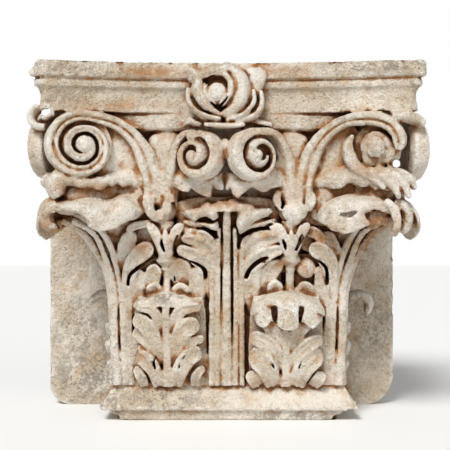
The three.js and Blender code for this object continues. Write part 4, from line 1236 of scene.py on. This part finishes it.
def marble():
    material = bpy.data.materials.new("weathered_marble")
    material.use_nodes = True
    tree = material.node_tree
    tree.nodes.clear()
    new, link = tree.nodes.new, tree.links.new

    def value(socket, v):
        if isinstance(v, bpy.types.NodeSocket):
            link(v, socket)
        else:
            socket.default_value = v

    def field(name):
        node = new("ShaderNodeAttribute")
        node.attribute_name = name
        return node.outputs["Fac"]

    def cloud(scale, detail=4, rough=0.55, seed=0.0):
        node = new("ShaderNodeTexNoise")
        node.inputs["Scale"].default_value = scale
        node.inputs["Detail"].default_value = detail
        node.inputs["Roughness"].default_value = rough
        shift = new("ShaderNodeMapping")
        shift.inputs["Location"].default_value = (seed, seed * 1.7, seed * 0.6)
        link(place.outputs["Object"], shift.inputs["Vector"])
        link(shift.outputs["Vector"], node.inputs["Vector"])
        return node.outputs["Fac"]

    def maths(kind, a, b=0.0):
        node = new("ShaderNodeMath")
        node.operation = kind
        value(node.inputs[0], a)
        value(node.inputs[1], b)
        return node.outputs[0]

    def span(x, low, high, to_low=0.0, to_high=1.0):
        node = new("ShaderNodeMapRange")
        node.interpolation_type = "SMOOTHSTEP"
        value(node.inputs["Value"], x)
        node.inputs["From Min"].default_value = low
        node.inputs["From Max"].default_value = high
        node.inputs["To Min"].default_value = to_low
        node.inputs["To Max"].default_value = to_high
        return node.outputs["Result"]

    def blend(amount, a, b, kind="MIX"):
        node = new("ShaderNodeMix")
        node.data_type = "RGBA"
        node.blend_type = kind
        value(node.inputs["Factor"], amount)
        value(node.inputs["A"], a)
        value(node.inputs["B"], b)
        return node.outputs["Result"]

    place = new("ShaderNodeTexCoord")
    near, far, bend = field("near"), field("far"), field("bend")
    rust_and_shade, grey, pale = field("rust_and_shade"), field("grey"), field("pale")
    tone = cloud(9, 7, 0.65)
    warm = cloud(22, 6, 0.65, 3.1)
    blotch = cloud(48, 6, 0.7, 4.4)
    speck = cloud(170, 5, 0.75, 5.2)
    crumbs = cloud(420, 3, 0.7, 7.7)
    spread = maths("SUBTRACT", blotch, 0.5)
    grit = maths("SUBTRACT", speck, 0.5)
    body = blend(span(tone, 0.38, 0.62), STONE_DARK, STONE_LIGHT)
    body = blend(span(warm, 0.50, 0.68, 0, 0.55), body, STONE_WARM)
    body = blend(span(blotch, 0.56, 0.70, 0, 0.5), body, STONE_GREY)
    crust = maths("MULTIPLY", grey, span(maths("ADD", blotch, grit), 0.42, 0.56))
    body = blend(crust, body, LICHEN)
    worn = maths("MULTIPLY", pale, span(blotch, 0.62, 0.42))
    # worn edges and painted highlight: sharply bent edges are painted paler
    worn_edge_and_highlight = span(maths("ADD", bend, maths("MULTIPLY", spread, 0.9)), -0.3, -0.75, 0, 0.7)
    body = blend(maths("MAXIMUM", worn, worn_edge_and_highlight), body, STONE_PALE)
    dusty = span(tone, 0.62, 0.40, 0.15, 0.6)
    body = blend(maths("MULTIPLY", span(speck, 0.54, 0.66), dusty), body, SPECKS)
    body = blend(maths("MULTIPLY", span(crumbs, 0.54, 0.68), dusty), body, SPECKS)
    # rust gathers where it is named and in every shallow hollow, and black grime lies deeper in: both follow how shut
    # in the stone is, so they are painted shade as well as rust and grime, and some named spots paint the shadow under
    # overhangs
    # painted shade and dirt: a warm brown wash darkens the stone the more it is shut in
    sheltered_dirt_and_shade = span(maths("ADD", far, maths("MULTIPLY", spread, 0.7)), 0.22, 0.70)
    body = blend(sheltered_dirt_and_shade, body, DIRT_AND_SHADE_WASH, "MULTIPLY")
    shallow = maths("ADD", near, maths("ADD", maths("MULTIPLY", spread, 0.6), maths("MULTIPLY", bend, 0.14)))
    patches = maths("MULTIPLY", rust_and_shade, span(blotch, 0.36, 0.54, 0.3, 1.0))
    recess = span(maths("ADD", far, maths("MULTIPLY", spread, 0.9)), 0.42, 0.74, 0, 0.93)
    rust_and_shade_amount = maths("MAXIMUM", maths("MAXIMUM", span(shallow, 0.06, 0.26, 0, 0.93), recess), patches)
    # painted shade and rust: the hollow colour darkens from ochre to deep brown the more shut in the stone is
    inner = maths("ADD", maths("ADD", near, maths("MULTIPLY", far, 0.2)), maths("MULTIPLY", grit, 0.7))
    shade = blend(span(inner, 0.16, 0.42), OCHRE, RUST_AND_SHADE_BROWN)
    body = blend(rust_and_shade_amount, body, shade)
    # painted shade and grime: near-black where the stone is most shut in
    deep = maths("ADD", maths("ADD", near, maths("MULTIPLY", far, 0.35)), maths("MULTIPLY", grit, 0.4))
    body = blend(span(deep, 0.45, 0.75, 0, 0.93), body, GRIME_AND_SHADE)
    shader = new("ShaderNodeBsdfPrincipled")
    value(shader.inputs["Base Color"], body)
    shader.inputs["Roughness"].default_value = 0.85
    shader.inputs["Specular IOR Level"].default_value = 0.25
    bump = new("ShaderNodeBump")
    bump.inputs["Strength"].default_value = 1.0
    bump.inputs["Distance"].default_value = 0.008
    grain = maths("ADD", cloud(90, 6, 0.65, 8.0), maths("MULTIPLY", cloud(320, 3, 0.6, 9.0), 0.5))
    value(bump.inputs["Height"], grain)
    link(bump.outputs["Normal"], shader.inputs["Normal"])
    output = new("ShaderNodeOutputMaterial")
    link(shader.outputs["BSDF"], output.inputs["Surface"])
    return material


stone.data.materials.clear()
stone.data.materials.append(marble())


# ---------------------------------------------------------------- stage, light and camera
def plain(name, color):
    material = bpy.data.materials.new(name)
    material.use_nodes = True
    shader = material.node_tree.nodes["Principled BSDF"]
    shader.inputs["Base Color"].default_value = color
    shader.inputs["Roughness"].default_value = 0.9
    return material


def floor():
    made = bmesh.new()
    bmesh.ops.create_grid(made, x_segments=1, y_segments=1, size=6.0)
    mesh = bpy.data.meshes.new("floor")
    made.to_mesh(mesh)
    made.free()
    obj = bpy.data.objects.new("floor", mesh)
    bpy.context.scene.collection.objects.link(obj)
    mesh.materials.append(plain("pale_floor", (0.9, 0.9, 0.89, 1)))


def camera():
    data = bpy.data.cameras.new("camera")
    data.lens = 80
    data.sensor_width = 36
    obj = bpy.data.objects.new("camera", data)
    bpy.context.scene.collection.objects.link(obj)
    obj.location = in_frame([(-5, -1620, 314)])[0]
    obj.rotation_euler = (math.pi / 2, 0, 0)
    bpy.context.scene.camera = obj


def soft_sun(name, direction, strength, angle, color=(1, 1, 1)):
    light = bpy.data.lights.new(name, "SUN")
    light.energy = strength
    light.angle = math.radians(angle)
    light.color = color
    obj = bpy.data.objects.new(name, light)
    bpy.context.scene.collection.objects.link(obj)
    obj.rotation_euler = Vector(direction).to_track_quat("-Z", "Y").to_euler()


def studio():
    """A white wall of light behind the object, and a dimmer room round the rest of it."""
    world = bpy.data.worlds.new("studio")
    bpy.context.scene.world = world
    world.use_nodes = True
    nodes, links = world.node_tree.nodes, world.node_tree.links
    where = nodes.new("ShaderNodeTexCoord")
    parts = nodes.new("ShaderNodeSeparateXYZ")
    wall = nodes.new("ShaderNodeMapRange")
    wall.inputs["From Min"].default_value = 0.8
    wall.inputs["From Max"].default_value = 0.93
    wall.inputs["To Min"].default_value = ROOM_LIGHT
    wall.inputs["To Max"].default_value = 1.0
    links.new(where.outputs["Generated"], parts.inputs["Vector"])
    links.new(parts.outputs["Y"], wall.inputs["Value"])
    links.new(wall.outputs["Result"], nodes["Background"].inputs["Strength"])
    nodes["Background"].inputs["Color"].default_value = (1, 1, 1, 1)


floor()
camera()
ROOM_LIGHT = 0.26
soft_sun("key", (0.34, 0.88, -0.95), 3.1, 20)
soft_sun("fill", (-0.55, 0.8, -0.25), 0.75, 70)
studio()
bpy.context.scene.view_settings.view_transform = "Standard"
